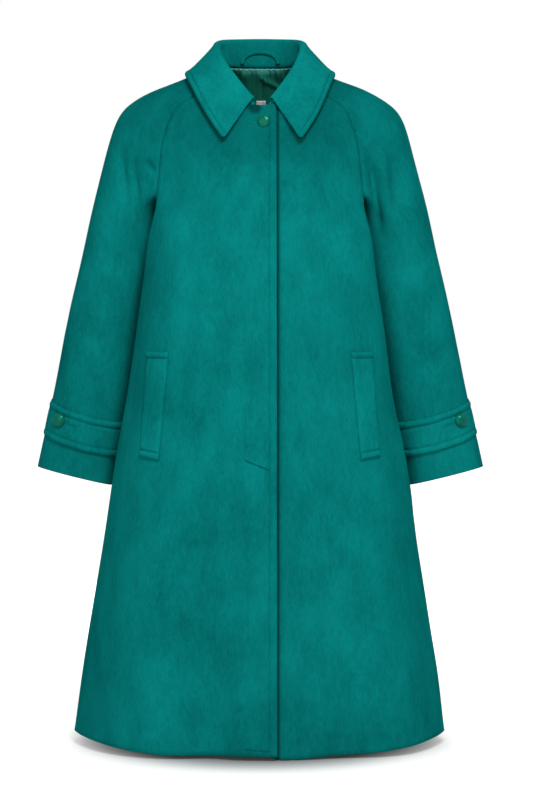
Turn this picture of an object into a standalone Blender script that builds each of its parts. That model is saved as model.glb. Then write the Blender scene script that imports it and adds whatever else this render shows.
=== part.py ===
"""Raglan overcoat with a turned-down collar, fly front, slanted pockets and cuff straps.

Metres, +Z up, the front faces -Y and the wearer's left is +X.  The origin is the middle of
the neck at the level of the shoulder seams.  The coat stands filled out and hollow, open at
the neck, the cuffs and the hem.
"""

import math
from collections import namedtuple

import bpy
import numpy as np
from mathutils import Vector
from mathutils.bvhtree import BVHTree

# Cloth
CLOTH = 0.003
SEAM_GAP = 0.0003
LINING = 0.001
CELL_LEVEL = 1
FIT_ROUNDS = 14

# Front closing
LAP_HALF = 0.0275
LAP_FADE = 0.075
LAP_RISE = CLOTH + SEAM_GAP
HEM_DROP = 0.005
HEM_DROP_REACH = 0.12
HEM_DROP_START = 0.012
HEM_LIFT_SPAN = (0.63, 0.30)

# Collar
COLLAR_WALL = 0.004
COLLAR_LIFT = 0.0030
COLLAR_SEAT = 0.0006
COLLAR_CLEAR = 0.0012
NECK_RADIUS = 0.085
COLLAR_STEPS = 30
COLLAR_STRAIGHT = 0.14
STAND_STEPS = 3
ROLL_STEPS = 4
FALL_STEPS = 6

# Welts and straps
WELT_WALL = 0.004
WELT_STEPS = (6, 16)
STRAP_WALL = 0.0035
STRAP_WIDTH = 0.058
STRAP_STEPS = (26, 4)
STRAP_TIP = 0.010
TRIM_LIFT = 0.0012

# Buttons, loop and label
BUTTON_RADIUS = 0.0108
BUTTON_SIDES = 28
LOOP_SPAN = 0.030
LOOP_RISE = 0.024
LOOP_RADII = (0.0026, 0.0020)
LABEL_SIZE = (0.018, 0.026)
LABEL_WALL = 0.0007
LABEL_TOP = -0.053
LINING_END = -0.30

# Rings of the yoke from the neckline to the underarm, one row a ring, +X side.
# front and back are (y, z) on the middle planes, the rest are (x, y, z); a bow is how far
# the stretch between two of them stands out from the straight line.
YokeRing = namedtuple(
    "YokeRing",
    "front raglan_front shoulder raglan_back back bow_front bow_cap_front bow_cap_back bow_back",
)
YOKE = (
    YokeRing((-0.088, -0.084), (0.064, -0.038, -0.024), (0.071, 0.005, -0.001),
             (0.056, 0.048, 0.002), (0.070, 0.001), 0.0145, 0.004, 0.004, 0.0075),
    YokeRing((-0.102, -0.105), (0.100, -0.062, -0.060), (0.118, 0.004, -0.0255),
             (0.088, 0.075, -0.022), (0.090, -0.025), 0.014, 0.008, 0.008, 0.007),
    YokeRing((-0.112, -0.130), (0.132, -0.080, -0.082), (0.168, 0.002, -0.0450),
             (0.118, 0.098, -0.050), (0.110, -0.058), 0.012, 0.014, 0.014, 0.006),
    YokeRing((-0.123, -0.158), (0.150, -0.090, -0.117), (0.2125, 0.000, -0.0705),
             (0.138, 0.108, -0.092), (0.126, -0.098), 0.013, 0.018, 0.018, 0.008),
    YokeRing((-0.134, -0.192), (0.161, -0.088, -0.163), (0.2405, 0.000, -0.112),
             (0.150, 0.106, -0.147), (0.138, -0.150), 0.0165, 0.022, 0.024, 0.012),
    YokeRing((-0.144, -0.235), (0.169, -0.074, -0.227), (0.263, 0.002, -0.195),
             (0.158, 0.090, -0.224), (0.146, -0.228), 0.031, 0.025, 0.026, 0.027),
)
UNDERARM = (0.152, 0.006, -0.180)
YOKE_SHARES = (0.50, 0.50, 0.50, 0.50, 0.54, 0.60)
YOKE_DIPS = (0.023, 0.008, 0.004, 0.0, 0.0, 0.0)

# Rings of the body below the underarm.  side is the widest front corner, rear the back
# corner; hollow is how far the side seam lies in from them, where the sleeve rests, and lift
# how much higher the ring runs at the sides.
BodyRing = namedtuple("BodyRing", "z front_y side_x side_y hollow rear_x rear_y back_y round lift")
BODY = (
    BodyRing(-0.285, -0.1510, 0.177, -0.080, 0.026, 0.169, 0.091, 0.150, 2.05, 0.0),
    BodyRing(-0.345, -0.1570, 0.1855, -0.079, 0.024, 0.180, 0.089, 0.152, 2.12, 0.0),
    BodyRing(-0.430, -0.1645, 0.1985, -0.075, 0.018, 0.194, 0.085, 0.155, 2.20, 0.0),
    BodyRing(-0.545, -0.1730, 0.2145, -0.068, 0.011, 0.210, 0.080, 0.162, 2.25, 0.0),
    BodyRing(-0.680, -0.1840, 0.2365, -0.060, 0.006, 0.232, 0.074, 0.172, 2.25, 0.0),
    BodyRing(-0.830, -0.1970, 0.261, -0.052, 0.001, 0.258, 0.066, 0.186, 2.20, 0.0),
    BodyRing(-0.975, -0.2100, 0.283, -0.046, 0.000, 0.281, 0.060, 0.200, 2.15, 0.003),
    BodyRing(-1.111, -0.2220, 0.3015, -0.042, 0.000, 0.300, 0.056, 0.214, 2.10, 0.012),
)

# Rings of the sleeve below the underarm, leaning outward by tilt degrees.
SleeveRing = namedtuple("SleeveRing", "outer_x outer_z width depth middle_y tilt")
SLEEVE = (
    SleeveRing(0.2800, -0.262, 0.114, 0.142, 0.008, 5.0),
    SleeveRing(0.2970, -0.335, 0.119, 0.132, 0.010, 8.0),
    SleeveRing(0.3175, -0.425, 0.122, 0.121, 0.012, 11.0),
    SleeveRing(0.3375, -0.525, 0.124, 0.110, 0.015, 13.0),
    SleeveRing(0.3575, -0.612, 0.126, 0.102, 0.018, 14.0),
    SleeveRing(0.3700, -0.668, 0.128, 0.097, 0.020, 14.0),
)
SLEEVE_BEARINGS = (121.0, 82.0, 43.0, 4.0, -39.0, -82.0, -122.0, -151.0, -180.0, 150.0)

# Soft flutes that open toward the hem: bearing from the front in degrees, half width in
# degrees, how far the cloth moves out, and the height where the flute starts.
Flute = namedtuple("Flute", "bearing spread depth top")
FLUTES = (
    Flute(-40.0, 13.0, 0.007, -0.62),
    Flute(-21.0, 9.0, -0.012, -0.70),
    Flute(30.0, 11.0, -0.006, -0.68),
    Flute(52.0, 12.0, 0.006, -0.62),
    Flute(-112.0, 13.0, -0.008, -0.60),
    Flute(-150.0, 14.0, 0.009, -0.52),
    Flute(174.0, 13.0, -0.010, -0.56),
    Flute(138.0, 14.0, 0.009, -0.52),
    Flute(106.0, 13.0, -0.008, -0.62),
)

# Collar sections from the front end to the middle of the back, +X side: the bearing of the
# seam round the neck in degrees from the front, the top of the roll, the free edge, the
# radius of the roll, how far the roll leans with the cloth below it, and how far both sides
# sit toward +X, where the fronts close.
CollarStation = namedtuple("CollarStation", "bearing roll edge radius lean shift")
COLLAR = (
    CollarStation(8.0, (0.0135, -0.085, -0.0700), (0.0607, -0.128, -0.143), 0.0038, 1.0, 0.004),
    CollarStation(32.0, (0.0410, -0.067, -0.0375), (0.0950, -0.098, -0.092), 0.0042, 0.8, 0.0025),
    CollarStation(55.0, (0.0595, -0.042, -0.0050), (0.1130, -0.062, -0.053), 0.0046, 0.5, 0.001),
    CollarStation(82.0, (0.0685, -0.008, 0.0220), (0.1215, -0.012, -0.0300), 0.0048, 0.2, 0.0005),
    CollarStation(116.0, (0.0660, 0.036, 0.0390), (0.1095, 0.052, -0.026), 0.0050, 0.0, 0.0),
    CollarStation(148.0, (0.0400, 0.069, 0.0460), (0.0700, 0.108, -0.028), 0.0050, 0.0, 0.0),
    CollarStation(180.0, (0.0000, 0.078, 0.0480), (0.0000, 0.119, -0.031), 0.0050, 0.0, 0.0),
)

# Corners of the slanted welt on the wearer's left front, (x, z).
WELT_CORNERS = {"top_in": (0.1435, -0.4815), "top_out": (0.1790, -0.4805),
                "low_in": (0.1590, -0.6540), "low_out": (0.1900, -0.6480)}

# Middle line of the cuff strap from the underarm seam over the front to the tip.
StrapStation = namedtuple("StrapStation", "bearing drop")
STRAP = (
    StrapStation(176.0, 0.080),
    StrapStation(140.0, 0.075),
    StrapStation(100.0, 0.073),
    StrapStation(60.0, 0.0765),
    StrapStation(20.0, 0.083),
    StrapStation(-14.0, 0.087),
)
STRAP_BUTTON = (58.0, 0.0860)

NECK_BUTTON = (0.006, -0.1115)

# Turned section of a button, from its crown to the middle of its back, in radii.
BUTTON_PROFILE = (
    (0.00, 0.46), (0.40, 0.43), (0.70, 0.35), (0.84, 0.34), (0.95, 0.28),
    (1.00, 0.17), (0.95, 0.07), (0.76, 0.00),
)

Finish = namedtuple("Finish", "colour roughness metallic")
FINISHES = {
    "wool": Finish((0.004, 0.180, 0.168), 0.92, 0.0),
    "satin": Finish((0.004, 0.055, 0.040), 0.42, 0.0),
    "button_gloss": Finish((0.006, 0.150, 0.105), 0.18, 0.0),
    "label_weave": Finish((0.72, 0.72, 0.70), 0.80, 0.0),
}


def clear_scene():
    """Remove everything that is in the scene."""
    for item in list(bpy.data.objects):
        bpy.data.objects.remove(item, do_unlink=True)


def finish(name, slot):
    """Return a new material for the named piece."""
    look = FINISHES[slot]
    material = bpy.data.materials.new(f"{name}_{slot}")
    material.use_nodes = True
    shader = material.node_tree.nodes["Principled BSDF"]
    shader.inputs["Base Color"].default_value = (*look.colour, 1.0)
    shader.inputs["Roughness"].default_value = look.roughness
    shader.inputs["Metallic"].default_value = look.metallic
    return material


def add_piece(name, points, faces, slot):
    """Add one named solid to the scene."""
    mesh = bpy.data.meshes.new(name)
    mesh.from_pydata([tuple(p) for p in points], [], [tuple(f) for f in faces])
    mesh.update()
    mesh.materials.append(finish(name, slot))
    piece = bpy.data.objects.new(name, mesh)
    bpy.context.scene.collection.objects.link(piece)
    return piece


def unit(vectors):
    """Return the vectors at unit length."""
    vectors = np.asarray(vectors, dtype=float)
    length = np.linalg.norm(vectors, axis=-1, keepdims=True)
    return vectors / np.maximum(length, 1e-12)


def smooth_step(value):
    """Ease from 0 to 1."""
    value = np.clip(value, 0.0, 1.0)
    return value * value * (3.0 - 2.0 * value)


def spline(knots, steps, closed=False):
    """Return a smooth curve through the knots, with a number of steps between each two."""
    knots = np.asarray(knots, dtype=float)
    count = len(knots)
    following = np.roll(knots, -1, axis=0)
    chord = np.maximum(np.linalg.norm(following - knots, axis=1), 1e-9)
    system = np.zeros((count, count))
    right = np.zeros_like(knots)
    for i in range(count):
        if closed or 0 < i < count - 1:
            before, after = chord[i - 1], chord[i]
            system[i, i - 1] += 1.0 / before
            system[i, i] += 2.0 / before + 2.0 / after
            system[i, (i + 1) % count] += 1.0 / after
            right[i] += 3.0 * (knots[i] - knots[i - 1]) / before ** 2
            right[i] += 3.0 * (following[i] - knots[i]) / after ** 2
        else:
            near = 1 if i == 0 else count - 2
            span = chord[0] if i == 0 else chord[count - 2]
            system[i, i] = 2.0
            system[i, near] = 1.0
            right[i] = 3.0 * (knots[near] - knots[i]) / span * (1.0 if i == 0 else -1.0)
    slopes = np.linalg.solve(system, right)
    curve = []
    for i in range(count if closed else count - 1):
        j = (i + 1) % count
        for t in np.arange(steps) / steps:
            a = (1.0 + 2.0 * t) * (1.0 - t) ** 2
            b = t * t * (3.0 - 2.0 * t)
            c = t * (1.0 - t) ** 2 * chord[i]
            d = t * t * (t - 1.0) * chord[i]
            curve.append(a * knots[i] + b * knots[j] + c * slopes[i] + d * slopes[j])
    if not closed:
        curve.append(knots[-1])
    return np.array(curve)


def along(curve, fractions):
    """Return the points at fractions of the length of a curve."""
    steps = np.linalg.norm(np.diff(curve, axis=0), axis=1)
    length = np.concatenate([[0.0], np.cumsum(steps)])
    wanted = np.asarray(fractions) * length[-1]
    return np.stack([np.interp(wanted, length, curve[:, i]) for i in range(curve.shape[1])], axis=1)


def from_lap(curve):
    """Split a front curve into the middle, the lap edge and three even steps to its end."""
    lap = np.array([LAP_HALF,
                    np.interp(LAP_HALF, curve[:, 0], curve[:, 1]),
                    np.interp(LAP_HALF, curve[:, 0], curve[:, 2])])
    rest = np.vstack([lap[None], curve[curve[:, 0] > LAP_HALF]])
    return np.vstack([curve[:1], along(rest, (0.0, 1 / 3, 2 / 3, 1.0))])


def bowed(start, end, bow, middle):
    """Return a point half way between two, moved out from the middle by the bow."""
    half = (start + end) / 2.0
    chord = unit(end - start)
    out = half - middle
    out = out - chord * np.dot(out, chord)
    return half + unit(out) * bow


def yoke_ring(row, share, dip):
    """Return one yoke ring from the front middle over +X to the back middle."""
    flip = np.array([-1.0, 1.0, 1.0])
    front = np.array([0.0, *row.front])
    back = np.array([0.0, *row.back])
    seam_front = np.array(row.raglan_front)
    top = np.array(row.shoulder)
    seam_back = np.array(row.raglan_back)
    inside = (seam_front + seam_back) / 2.0
    knots = [
        front,
        front + (seam_front - front) * share - np.array([0.0, row.bow_front, dip]),
        seam_front,
        bowed(seam_front, top, row.bow_cap_front, inside),
        top,
        bowed(top, seam_back, row.bow_cap_back, inside),
        seam_back,
        back + (seam_back - back) * share + np.array([0.0, row.bow_back, 0.0]),
        back,
    ]
    knots += [knot * flip for knot in knots[-2:0:-1]]
    fine = 24
    curve = spline(knots, fine, closed=True)
    panel_front = curve[:2 * fine + 1]
    cap_front = curve[2 * fine:4 * fine + 1]
    cap_back = curve[4 * fine:6 * fine + 1]
    panel_back = curve[6 * fine:8 * fine + 1]
    thirds = (1 / 3, 2 / 3, 1.0)
    return np.vstack([from_lap(panel_front), along(cap_front, thirds), along(cap_back, thirds),
                      along(panel_back, thirds)])


def corner_arc(row, middle_y, corner_x, corner_y):
    """Return the rounded quarter from a middle plane to a side corner of the body."""
    turn = np.linspace(0.0, math.pi / 2.0, 40)
    x = corner_x * np.sin(turn) ** (2.0 / row.round)
    y = corner_y + (middle_y - corner_y) * np.cos(turn) ** (2.0 / row.round)
    return np.stack([x, y, np.full_like(x, row.z)], axis=1)


def body_ring(row):
    """Return one body ring from the front middle over +X to the back middle."""
    front = from_lap(corner_arc(row, row.front_y, row.side_x, row.side_y))
    side = []
    for t in (0.25, 0.5, 0.75):
        x = row.side_x + (row.rear_x - row.side_x) * t - row.hollow * math.sin(math.pi * t) ** 2
        side.append((x, row.side_y + (row.rear_y - row.side_y) * t, row.z))
    rear = corner_arc(row, row.back_y, row.rear_x, row.rear_y)[::-1]
    ring = np.vstack([front, side, along(rear, (0.0, 1 / 3, 2 / 3, 1.0))])
    start, span = HEM_LIFT_SPAN
    ring[:, 2] += row.lift * smooth_step((ring[:, 0] / row.side_x - start) / span)
    return ring


def sleeve_axes(row):
    """Return the middle, the outward and the forward direction of a sleeve ring."""
    lean = math.radians(row.tilt)
    out = np.array([math.cos(lean), 0.0, math.sin(lean)])
    middle = np.array([row.outer_x, row.middle_y, row.outer_z]) - out * row.width / 2.0
    return middle, out, np.array([0.0, -1.0, 0.0])


def sleeve_ring(row):
    """Return one sleeve ring from the raglan front line over the outside and round."""
    middle, out, ahead = sleeve_axes(row)
    turn = np.radians(SLEEVE_BEARINGS)
    return (middle + np.outer(np.cos(turn), out) * row.width / 2.0
            + np.outer(np.sin(turn), ahead) * row.depth / 2.0)


class Cage:
    """Points and four-sided cells of the whole coat, each cell marked with its panel."""

    PANELS = ("front", "lap", "back", "sleeve_front", "sleeve_back")

    def __init__(self):
        self.points = []
        self.cells = []
        self.marks = []
        self.loose = []

    def add(self, points):
        """Add points and return their numbers."""
        first = len(self.points)
        self.points.extend(np.asarray(points))
        return list(range(first, len(self.points)))

    def strip(self, upper, lower, marks, closed=False):
        """Join two rings of points by cells."""
        count = len(upper) if closed else len(upper) - 1
        for j in range(count):
            k = (j + 1) % len(upper)
            self.cells.append((upper[j], lower[j], lower[k], upper[k]))
            self.marks.append(marks[j])

    def mirrored(self):
        """Return points, cells, panel names and the points that the cloth only nears."""
        points = [np.array(p) for p in self.points]
        partner = {}
        for i, p in enumerate(self.points):
            if abs(p[0]) < 1e-9:
                partner[i] = i
            else:
                partner[i] = len(points)
                points.append(p * np.array([-1.0, 1.0, 1.0]))
        cells = list(self.cells)
        names = [self.side_name(m, "left") for m in self.marks]
        for cell, mark in zip(self.cells, self.marks):
            cells.append(tuple(partner[i] for i in reversed(cell)))
            names.append(self.side_name(mark, "right"))
        loose = self.loose + [partner[i] for i in self.loose]
        return np.array(points), cells, names, loose

    @staticmethod
    def side_name(mark, side):
        """Return the panel name on one side."""
        if mark == "back":
            return mark
        if mark.startswith("sleeve"):
            return mark.replace("sleeve", f"sleeve_{side}")
        return f"{mark}_{side}"


def coat_cage():
    """Lay out the rings of the coat on the +X side and join them."""
    cage = Cage()
    yoke_marks = ["lap"] + ["front"] * 3 + ["sleeve_front"] * 3 + ["sleeve_back"] * 3 + ["back"] * 3
    body_marks = ["lap"] + ["front"] * 5 + ["back"] * 5
    sleeve_marks = ["sleeve_front"] * 3 + ["sleeve_back"] * 5 + ["sleeve_front"] * 2
    rings = [cage.add(yoke_ring(*values)) for values in zip(YOKE, YOKE_SHARES, YOKE_DIPS)]
    for upper, lower in zip(rings, rings[1:]):
        cage.strip(upper, lower, yoke_marks)
    last = rings[-1]
    seam_front, seam_back = cage.points[last[4]], cage.points[last[10]]
    fold = spline([seam_front, UNDERARM, seam_back], 2)
    under = cage.add(fold[1:4])
    cage.loose = under
    upper = last[:5] + under + last[10:]
    for row in BODY:
        lower = cage.add(body_ring(row))
        cage.strip(upper, lower, body_marks)
        upper = lower
    upper = last[4:11] + under[::-1]
    for row in SLEEVE:
        lower = cage.add(sleeve_ring(row))
        cage.strip(upper, lower, sleeve_marks, closed=True)
        upper = lower
    return cage


class Surface:
    """The smooth outer face of the coat, as points, normals and cells with panel names."""

    def __init__(self, points, cells, names):
        self.points = points
        self.cells = self.turned(cells)
        self.names = names
        self.normals = self.point_normals()

    def turned(self, cells):
        """Return the cells turned so that the first diagonal of each is the shorter."""
        p = self.points[cells]
        first = np.linalg.norm(p[:, 2] - p[:, 0], axis=1)
        second = np.linalg.norm(p[:, 3] - p[:, 1], axis=1)
        return np.where((first <= second)[:, None], cells, np.roll(cells, 1, axis=1))

    def point_normals(self):
        """Return the mean normal at each point."""
        p = self.points[self.cells]
        flat = unit(np.cross(p[:, 2] - p[:, 0], p[:, 3] - p[:, 1]))
        total = np.zeros_like(self.points)
        for corner in range(4):
            np.add.at(total, self.cells[:, corner], flat)
        return unit(total)

    def part(self, *names):
        """Return the cells of the named panels."""
        return self.cells[np.isin(self.names, names)]


def subdivided(points, cells, names, loose, level):
    """Return the smooth surface that passes through the points, all but the loose ones."""
    kinds = sorted(set(names))
    mesh = bpy.data.meshes.new("coat_form")
    mesh.from_pydata([tuple(p) for p in points], [], cells)
    for kind in kinds:
        mesh.materials.append(bpy.data.materials.new(kind))
    mesh.polygons.foreach_set("material_index", [kinds.index(n) for n in names])
    form = bpy.data.objects.new("coat_form", mesh)
    bpy.context.scene.collection.objects.link(form)
    modifier = form.modifiers.new("smooth", "SUBSURF")
    modifier.levels = level
    modifier.render_levels = level
    moved = points.copy()
    for step in range(FIT_ROUNDS + 1):
        mesh.vertices.foreach_set("co", moved.ravel())
        mesh.update()
        bpy.context.view_layer.update()
        shaped = form.evaluated_get(bpy.context.evaluated_depsgraph_get()).to_mesh()
        place = np.empty(len(shaped.vertices) * 3)
        shaped.vertices.foreach_get("co", place)
        place = place.reshape(-1, 3)
        if step < FIT_ROUNDS:
            miss = points - place[:len(points)]
            miss[loose] = 0.0
            moved += miss
    fine_cells = np.array([tuple(f.vertices) for f in shaped.polygons])
    fine_names = np.array([kinds[f.material_index] for f in shaped.polygons])
    bpy.data.objects.remove(form, do_unlink=True)
    return Surface(place, fine_cells, fine_names)


def fluted(surface):
    """Open the soft flutes in the lower part of the coat."""
    body = np.zeros(len(surface.points), dtype=bool)
    body[surface.part("front_left", "front_right", "lap_left", "lap_right", "back").ravel()] = True
    x, y, z = surface.points.T
    bearing = np.degrees(np.arctan2(x, -y))
    move = np.zeros(len(x))
    for row in FLUTES:
        away = (bearing - row.bearing + 180.0) % 360.0 - 180.0
        grow = smooth_step((row.top - z) / (row.top - BODY[-1].z))
        move += row.depth * np.exp(-(away / row.spread) ** 2) * grow
    level = unit(surface.normals * np.array([1.0, 1.0, 0.0]))
    surface.points = surface.points + level * (move * body)[:, None]
    surface.normals = surface.point_normals()
    return surface


def rim_edges(cells):
    """Return the edges that belong to one cell only, in the turning sense of that cell."""
    seen = {}
    for cell in cells:
        for a, b in zip(cell, np.roll(cell, -1)):
            seen[(int(a), int(b))] = True
    return [edge for edge in seen if (edge[1], edge[0]) not in seen]


def halved(cells):
    """Return each cell as two triangles, split the same way on every layer of cloth."""
    return np.vstack([cells[:, [0, 1, 2]], cells[:, [0, 2, 3]]])


def wall(points, normals, cells, outer, inner):
    """Return points and faces of a closed cloth wall on cells of a surface.

    outer and inner are distances along the normals; the rim is drawn in by half a seam gap.
    """
    used = np.unique(cells)
    number = {int(v): i for i, v in enumerate(used)}
    edges = rim_edges(cells)
    draw = np.zeros((len(points), 3))
    for a, b in edges:
        side = np.cross(normals[a] + normals[b], points[b] - points[a])
        draw[a] += unit(side)
        draw[b] += unit(side)
    reach = np.minimum(2.0 / np.maximum(np.linalg.norm(draw, axis=1), 1e-9), 2.0)
    base = points + unit(draw) * (reach * SEAM_GAP / 2.0)[:, None]
    outer = np.broadcast_to(outer, len(points))
    inner = np.broadcast_to(inner, len(points))
    front = (base + normals * outer[:, None])[used]
    rear = (base + normals * inner[:, None])[used]
    size = len(used)
    halves = [[number[int(v)] for v in half] for half in halved(cells)]
    faces = [(a, b, c) for a, b, c in halves]
    faces += [(size + c, size + b, size + a) for a, b, c in halves]
    for a, b in edges:
        i, j = number[a], number[b]
        if a < b:
            faces += [(j, i, size + j), (i, size + i, size + j)]
        else:
            faces += [(j, i, size + i), (j, size + i, size + j)]
    return np.vstack([front, rear]), faces


def grid_cells(rows, columns):
    """Return the cells of a grid of points stored row by row."""
    cells = []
    for i in range(rows - 1):
        for j in range(columns - 1):
            a = i * columns + j
            cells.append((a, a + columns, a + columns + 1, a + 1))
    return np.array(cells)


def sheet_wall(grid, outer, inner):
    """Return a closed wall on a grid of points, whose normals come from the grid itself."""
    rows, columns = grid.shape[:2]
    cells = grid_cells(rows, columns)
    sheet = Surface(grid.reshape(-1, 3), cells, np.full(len(cells), "sheet"))
    return wall(sheet.points, sheet.normals, cells, outer, inner)


def tree_of(pieces):
    """Return a search tree over (points, cells) pairs."""
    points, faces, first = [], [], 0
    for place, cells in pieces:
        points.extend(Vector(p) for p in place)
        faces.extend(tuple(int(v) + first for v in half) for half in halved(cells))
        first += len(place)
    return BVHTree.FromPolygons(points, faces)


def lap_rise(points):
    """Return how far the right front stands out where it laps over the left."""
    return LAP_RISE * smooth_step((points[:, 0] + LAP_FADE) / (LAP_FADE - LAP_HALF - 0.004))


def build_panels(surface):
    """Add the fronts, the back and the four sleeve pieces; return the outer faces."""
    lap = ("lap_left", "lap_right")
    plans = {
        "front_right": ("front_right", *lap),
        "front_left": ("front_left", *lap),
        "back": ("back",),
        "sleeve_right_front": ("sleeve_right_front",),
        "sleeve_right_back": ("sleeve_right_back",),
        "sleeve_left_front": ("sleeve_left_front",),
        "sleeve_left_back": ("sleeve_left_back",),
    }
    skins = {}
    for name, parts in plans.items():
        cells = surface.part(*parts)
        points = surface.points.copy()
        rise = np.zeros(len(points))
        if name == "front_right":
            rise = lap_rise(points)
        if name == "front_left":
            inside = points[:, 0] - LAP_HALF
            near = smooth_step(1.0 - inside / HEM_DROP_REACH) * smooth_step(1.0 + inside / HEM_DROP_START)
            low = smooth_step((-0.95 - points[:, 2]) / 0.16)
            points[:, 2] -= HEM_DROP * near * low
        place, faces = wall(points, surface.normals, cells, rise, rise - CLOTH)
        add_piece(name, place, faces, "wool")
        skins[name] = (points + surface.normals * rise[:, None], cells)
    return skins


def kept_clear(tree, point, distance):
    """Move a point out of the coat until it is the given distance from its outer face."""
    hit, normal, _, _ = tree.find_nearest(Vector(point))
    if (Vector(point) - hit).dot(normal) < distance:
        return np.array(hit + normal * distance)
    return np.array(point)


def bezier(a, b, c, d, fractions):
    """Return points on a cubic arc."""
    t = np.asarray(fractions)[:, None]
    return a * (1 - t) ** 3 + 3 * b * t * (1 - t) ** 2 + 3 * c * t * t * (1 - t) + d * t ** 3


def neck_seam(surface, bearings):
    """Return points, normals and upward directions of the neck seam at the bearings."""
    edges = [e for e in rim_edges(surface.cells) if surface.points[e[0], 2] > -0.15]
    start = np.array([e[0] for e in edges])
    end = np.array([e[1] for e in edges])
    up = np.zeros_like(surface.points)
    side = np.cross(surface.points[end] - surface.points[start],
                    surface.normals[start] + surface.normals[end])
    np.add.at(up, start, unit(side))
    np.add.at(up, end, unit(side))
    place = surface.points[start]
    angle = np.degrees(np.arctan2(place[:, 0], -place[:, 1]))
    order = np.argsort(angle)
    found = []
    for values in (place, surface.normals[start], up[start]):
        columns = [np.interp(bearings, angle[order], values[order, i], period=360.0) for i in range(3)]
        found.append(np.stack(columns, axis=1))
    return found[0], unit(found[1]), unit(found[2])


def round_neck(values, sign=1.0):
    """Return values of the half collar for the whole collar, from the -X to the +X front."""
    values = [np.asarray(v, dtype=float) for v in values]
    flip = np.array([-1.0, 1.0, 1.0]) if values[0].ndim else sign
    return [v * flip for v in values[:-1]] + values[::-1]


def collar_lines(surface):
    """Return the seam, roll and edge of the collar at even steps round the neck."""
    slide = np.outer(round_neck([row.shift for row in COLLAR]), (1.0, 0.0, 0.0))
    roll = spline(round_neck([row.roll for row in COLLAR]) + slide, 8)
    edge = spline(round_neck([row.edge for row in COLLAR]) + slide, 8)
    steps = np.linalg.norm(np.diff(roll, axis=0), axis=1)
    share = np.concatenate([[0.0], np.cumsum(steps)]) / steps.sum()
    wanted = np.linspace(0.0, 1.0, COLLAR_STEPS + 1)
    roll, edge = [np.stack([np.interp(wanted, share, line[:, i]) for i in range(3)], axis=1)
                  for line in (roll, edge)]
    station = np.interp(wanted, share, np.linspace(0.0, 2.0 * len(COLLAR) - 2.0, len(share)))
    places = np.arange(2 * len(COLLAR) - 1)
    bearing = np.interp(station, places, round_neck([row.bearing - 180.0 for row in COLLAR], -1.0))
    radius = np.interp(station, places, round_neck([row.radius for row in COLLAR]))
    lean = np.interp(station, places, round_neck([row.lean for row in COLLAR]))
    turn = np.degrees(np.interp(station, places, slide[:, 0]) / NECK_RADIUS)
    return neck_seam(surface, bearing + turn + 180.0), roll, edge, radius, lean


def collar_grid(surface, tree):
    """Return the middle face of the collar, a section at each step round the neck."""
    (seam, normal, rise), roll, edge, radius, lean = collar_lines(surface)
    run = unit(np.gradient(roll, axis=0))
    clear = COLLAR_CLEAR + COLLAR_WALL / 2.0
    grid = []
    for i in range(COLLAR_STEPS + 1):
        out = unit(normal[i] * np.array([1.0, 1.0, lean[i]]))
        up = unit(np.cross(run[i], out))
        out = np.cross(up, run[i])
        seat = seam[i] - normal[i] * CLOTH / 2.0 + rise[i] * COLLAR_SEAT
        base = seat + rise[i] * COLLAR_LIFT
        middle = roll[i] - up * radius[i]
        inner, outer = middle - out * radius[i], middle + out * radius[i]
        free = kept_clear(tree, edge[i], clear)
        height = np.linalg.norm(inner - base)
        length = np.linalg.norm(free - outer)
        stand = bezier(base, base + rise[i] * COLLAR_LIFT, inner - up * height * 0.35, inner,
                       np.linspace(0, 1, STAND_STEPS + 1)[:-1])
        turn = np.linspace(0.0, math.pi, ROLL_STEPS + 1)[:-1, None]
        over = middle + (up * np.sin(turn) - out * np.cos(turn)) * radius[i]
        ahead = unit(free - outer)
        straight = 1.0 - smooth_step(min(i, COLLAR_STEPS - i) / (COLLAR_STEPS * COLLAR_STRAIGHT))
        leave = unit(ahead * straight - up * (1.0 - straight))
        fall = bezier(outer, outer + leave * length * 0.22, free - ahead * length * 0.3, free,
                      np.linspace(0, 1, FALL_STEPS + 1))
        fall[1:] = [kept_clear(tree, p, clear) for p in fall[1:]]
        grid.append(np.vstack([seat, stand, over, fall]))
    return np.array(grid)


def build_collar(surface, skins):
    """Add the turned-down collar and return its middle face."""
    grid = collar_grid(surface, tree_of(skins.values()))
    place, faces = sheet_wall(grid, COLLAR_WALL / 2.0, -COLLAR_WALL / 2.0)
    add_piece("collar", place, faces, "wool")
    return grid


def on_front(tree, x, z):
    """Return the point and normal of the coat front at x and z."""
    hit, normal, _, _ = tree.ray_cast(Vector((x, -1.0, z)), Vector((0.0, 1.0, 0.0)))
    return np.array(hit), np.array(normal)


def build_welt(name, skin, side):
    """Add one slanted welt on a front."""
    tree = tree_of([skin])
    corner = {key: np.array(value) for key, value in WELT_CORNERS.items()}
    across, down = WELT_STEPS
    grid = []
    for v in np.linspace(0.0, 1.0, down + 1):
        row = []
        for u in np.linspace(0.0, 1.0, across + 1):
            top = corner["top_in"] * (1 - u) + corner["top_out"] * u
            low = corner["low_in"] * (1 - u) + corner["low_out"] * u
            x, z = top * (1 - v) + low * v
            row.append(on_front(tree, side * x, z)[0])
        grid.append(row)
    grid = np.array(grid)
    if side < 0:
        grid = grid[:, ::-1]
    place, faces = sheet_wall(grid, TRIM_LIFT + WELT_WALL, TRIM_LIFT)
    add_piece(name, place, faces, "wool")


def sleeve_point(tree, side, bearing, drop):
    """Return the point and normal on a sleeve, drop metres up from the cuff edge."""
    cuff, out, ahead = sleeve_axes(SLEEVE[-1])
    upper, _, _ = sleeve_axes(SLEEVE[-3])
    axis = unit(upper - cuff)
    turn = math.radians(bearing)
    aim = out * math.cos(turn) * SLEEVE[-1].width + ahead * math.sin(turn) * SLEEVE[-1].depth
    flip = np.array([side, 1.0, 1.0])
    start = (cuff + axis * drop) * flip
    hit, normal, _, _ = tree.ray_cast(Vector(start), Vector(unit(aim) * flip))
    return np.array(hit), np.array(normal)


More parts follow.
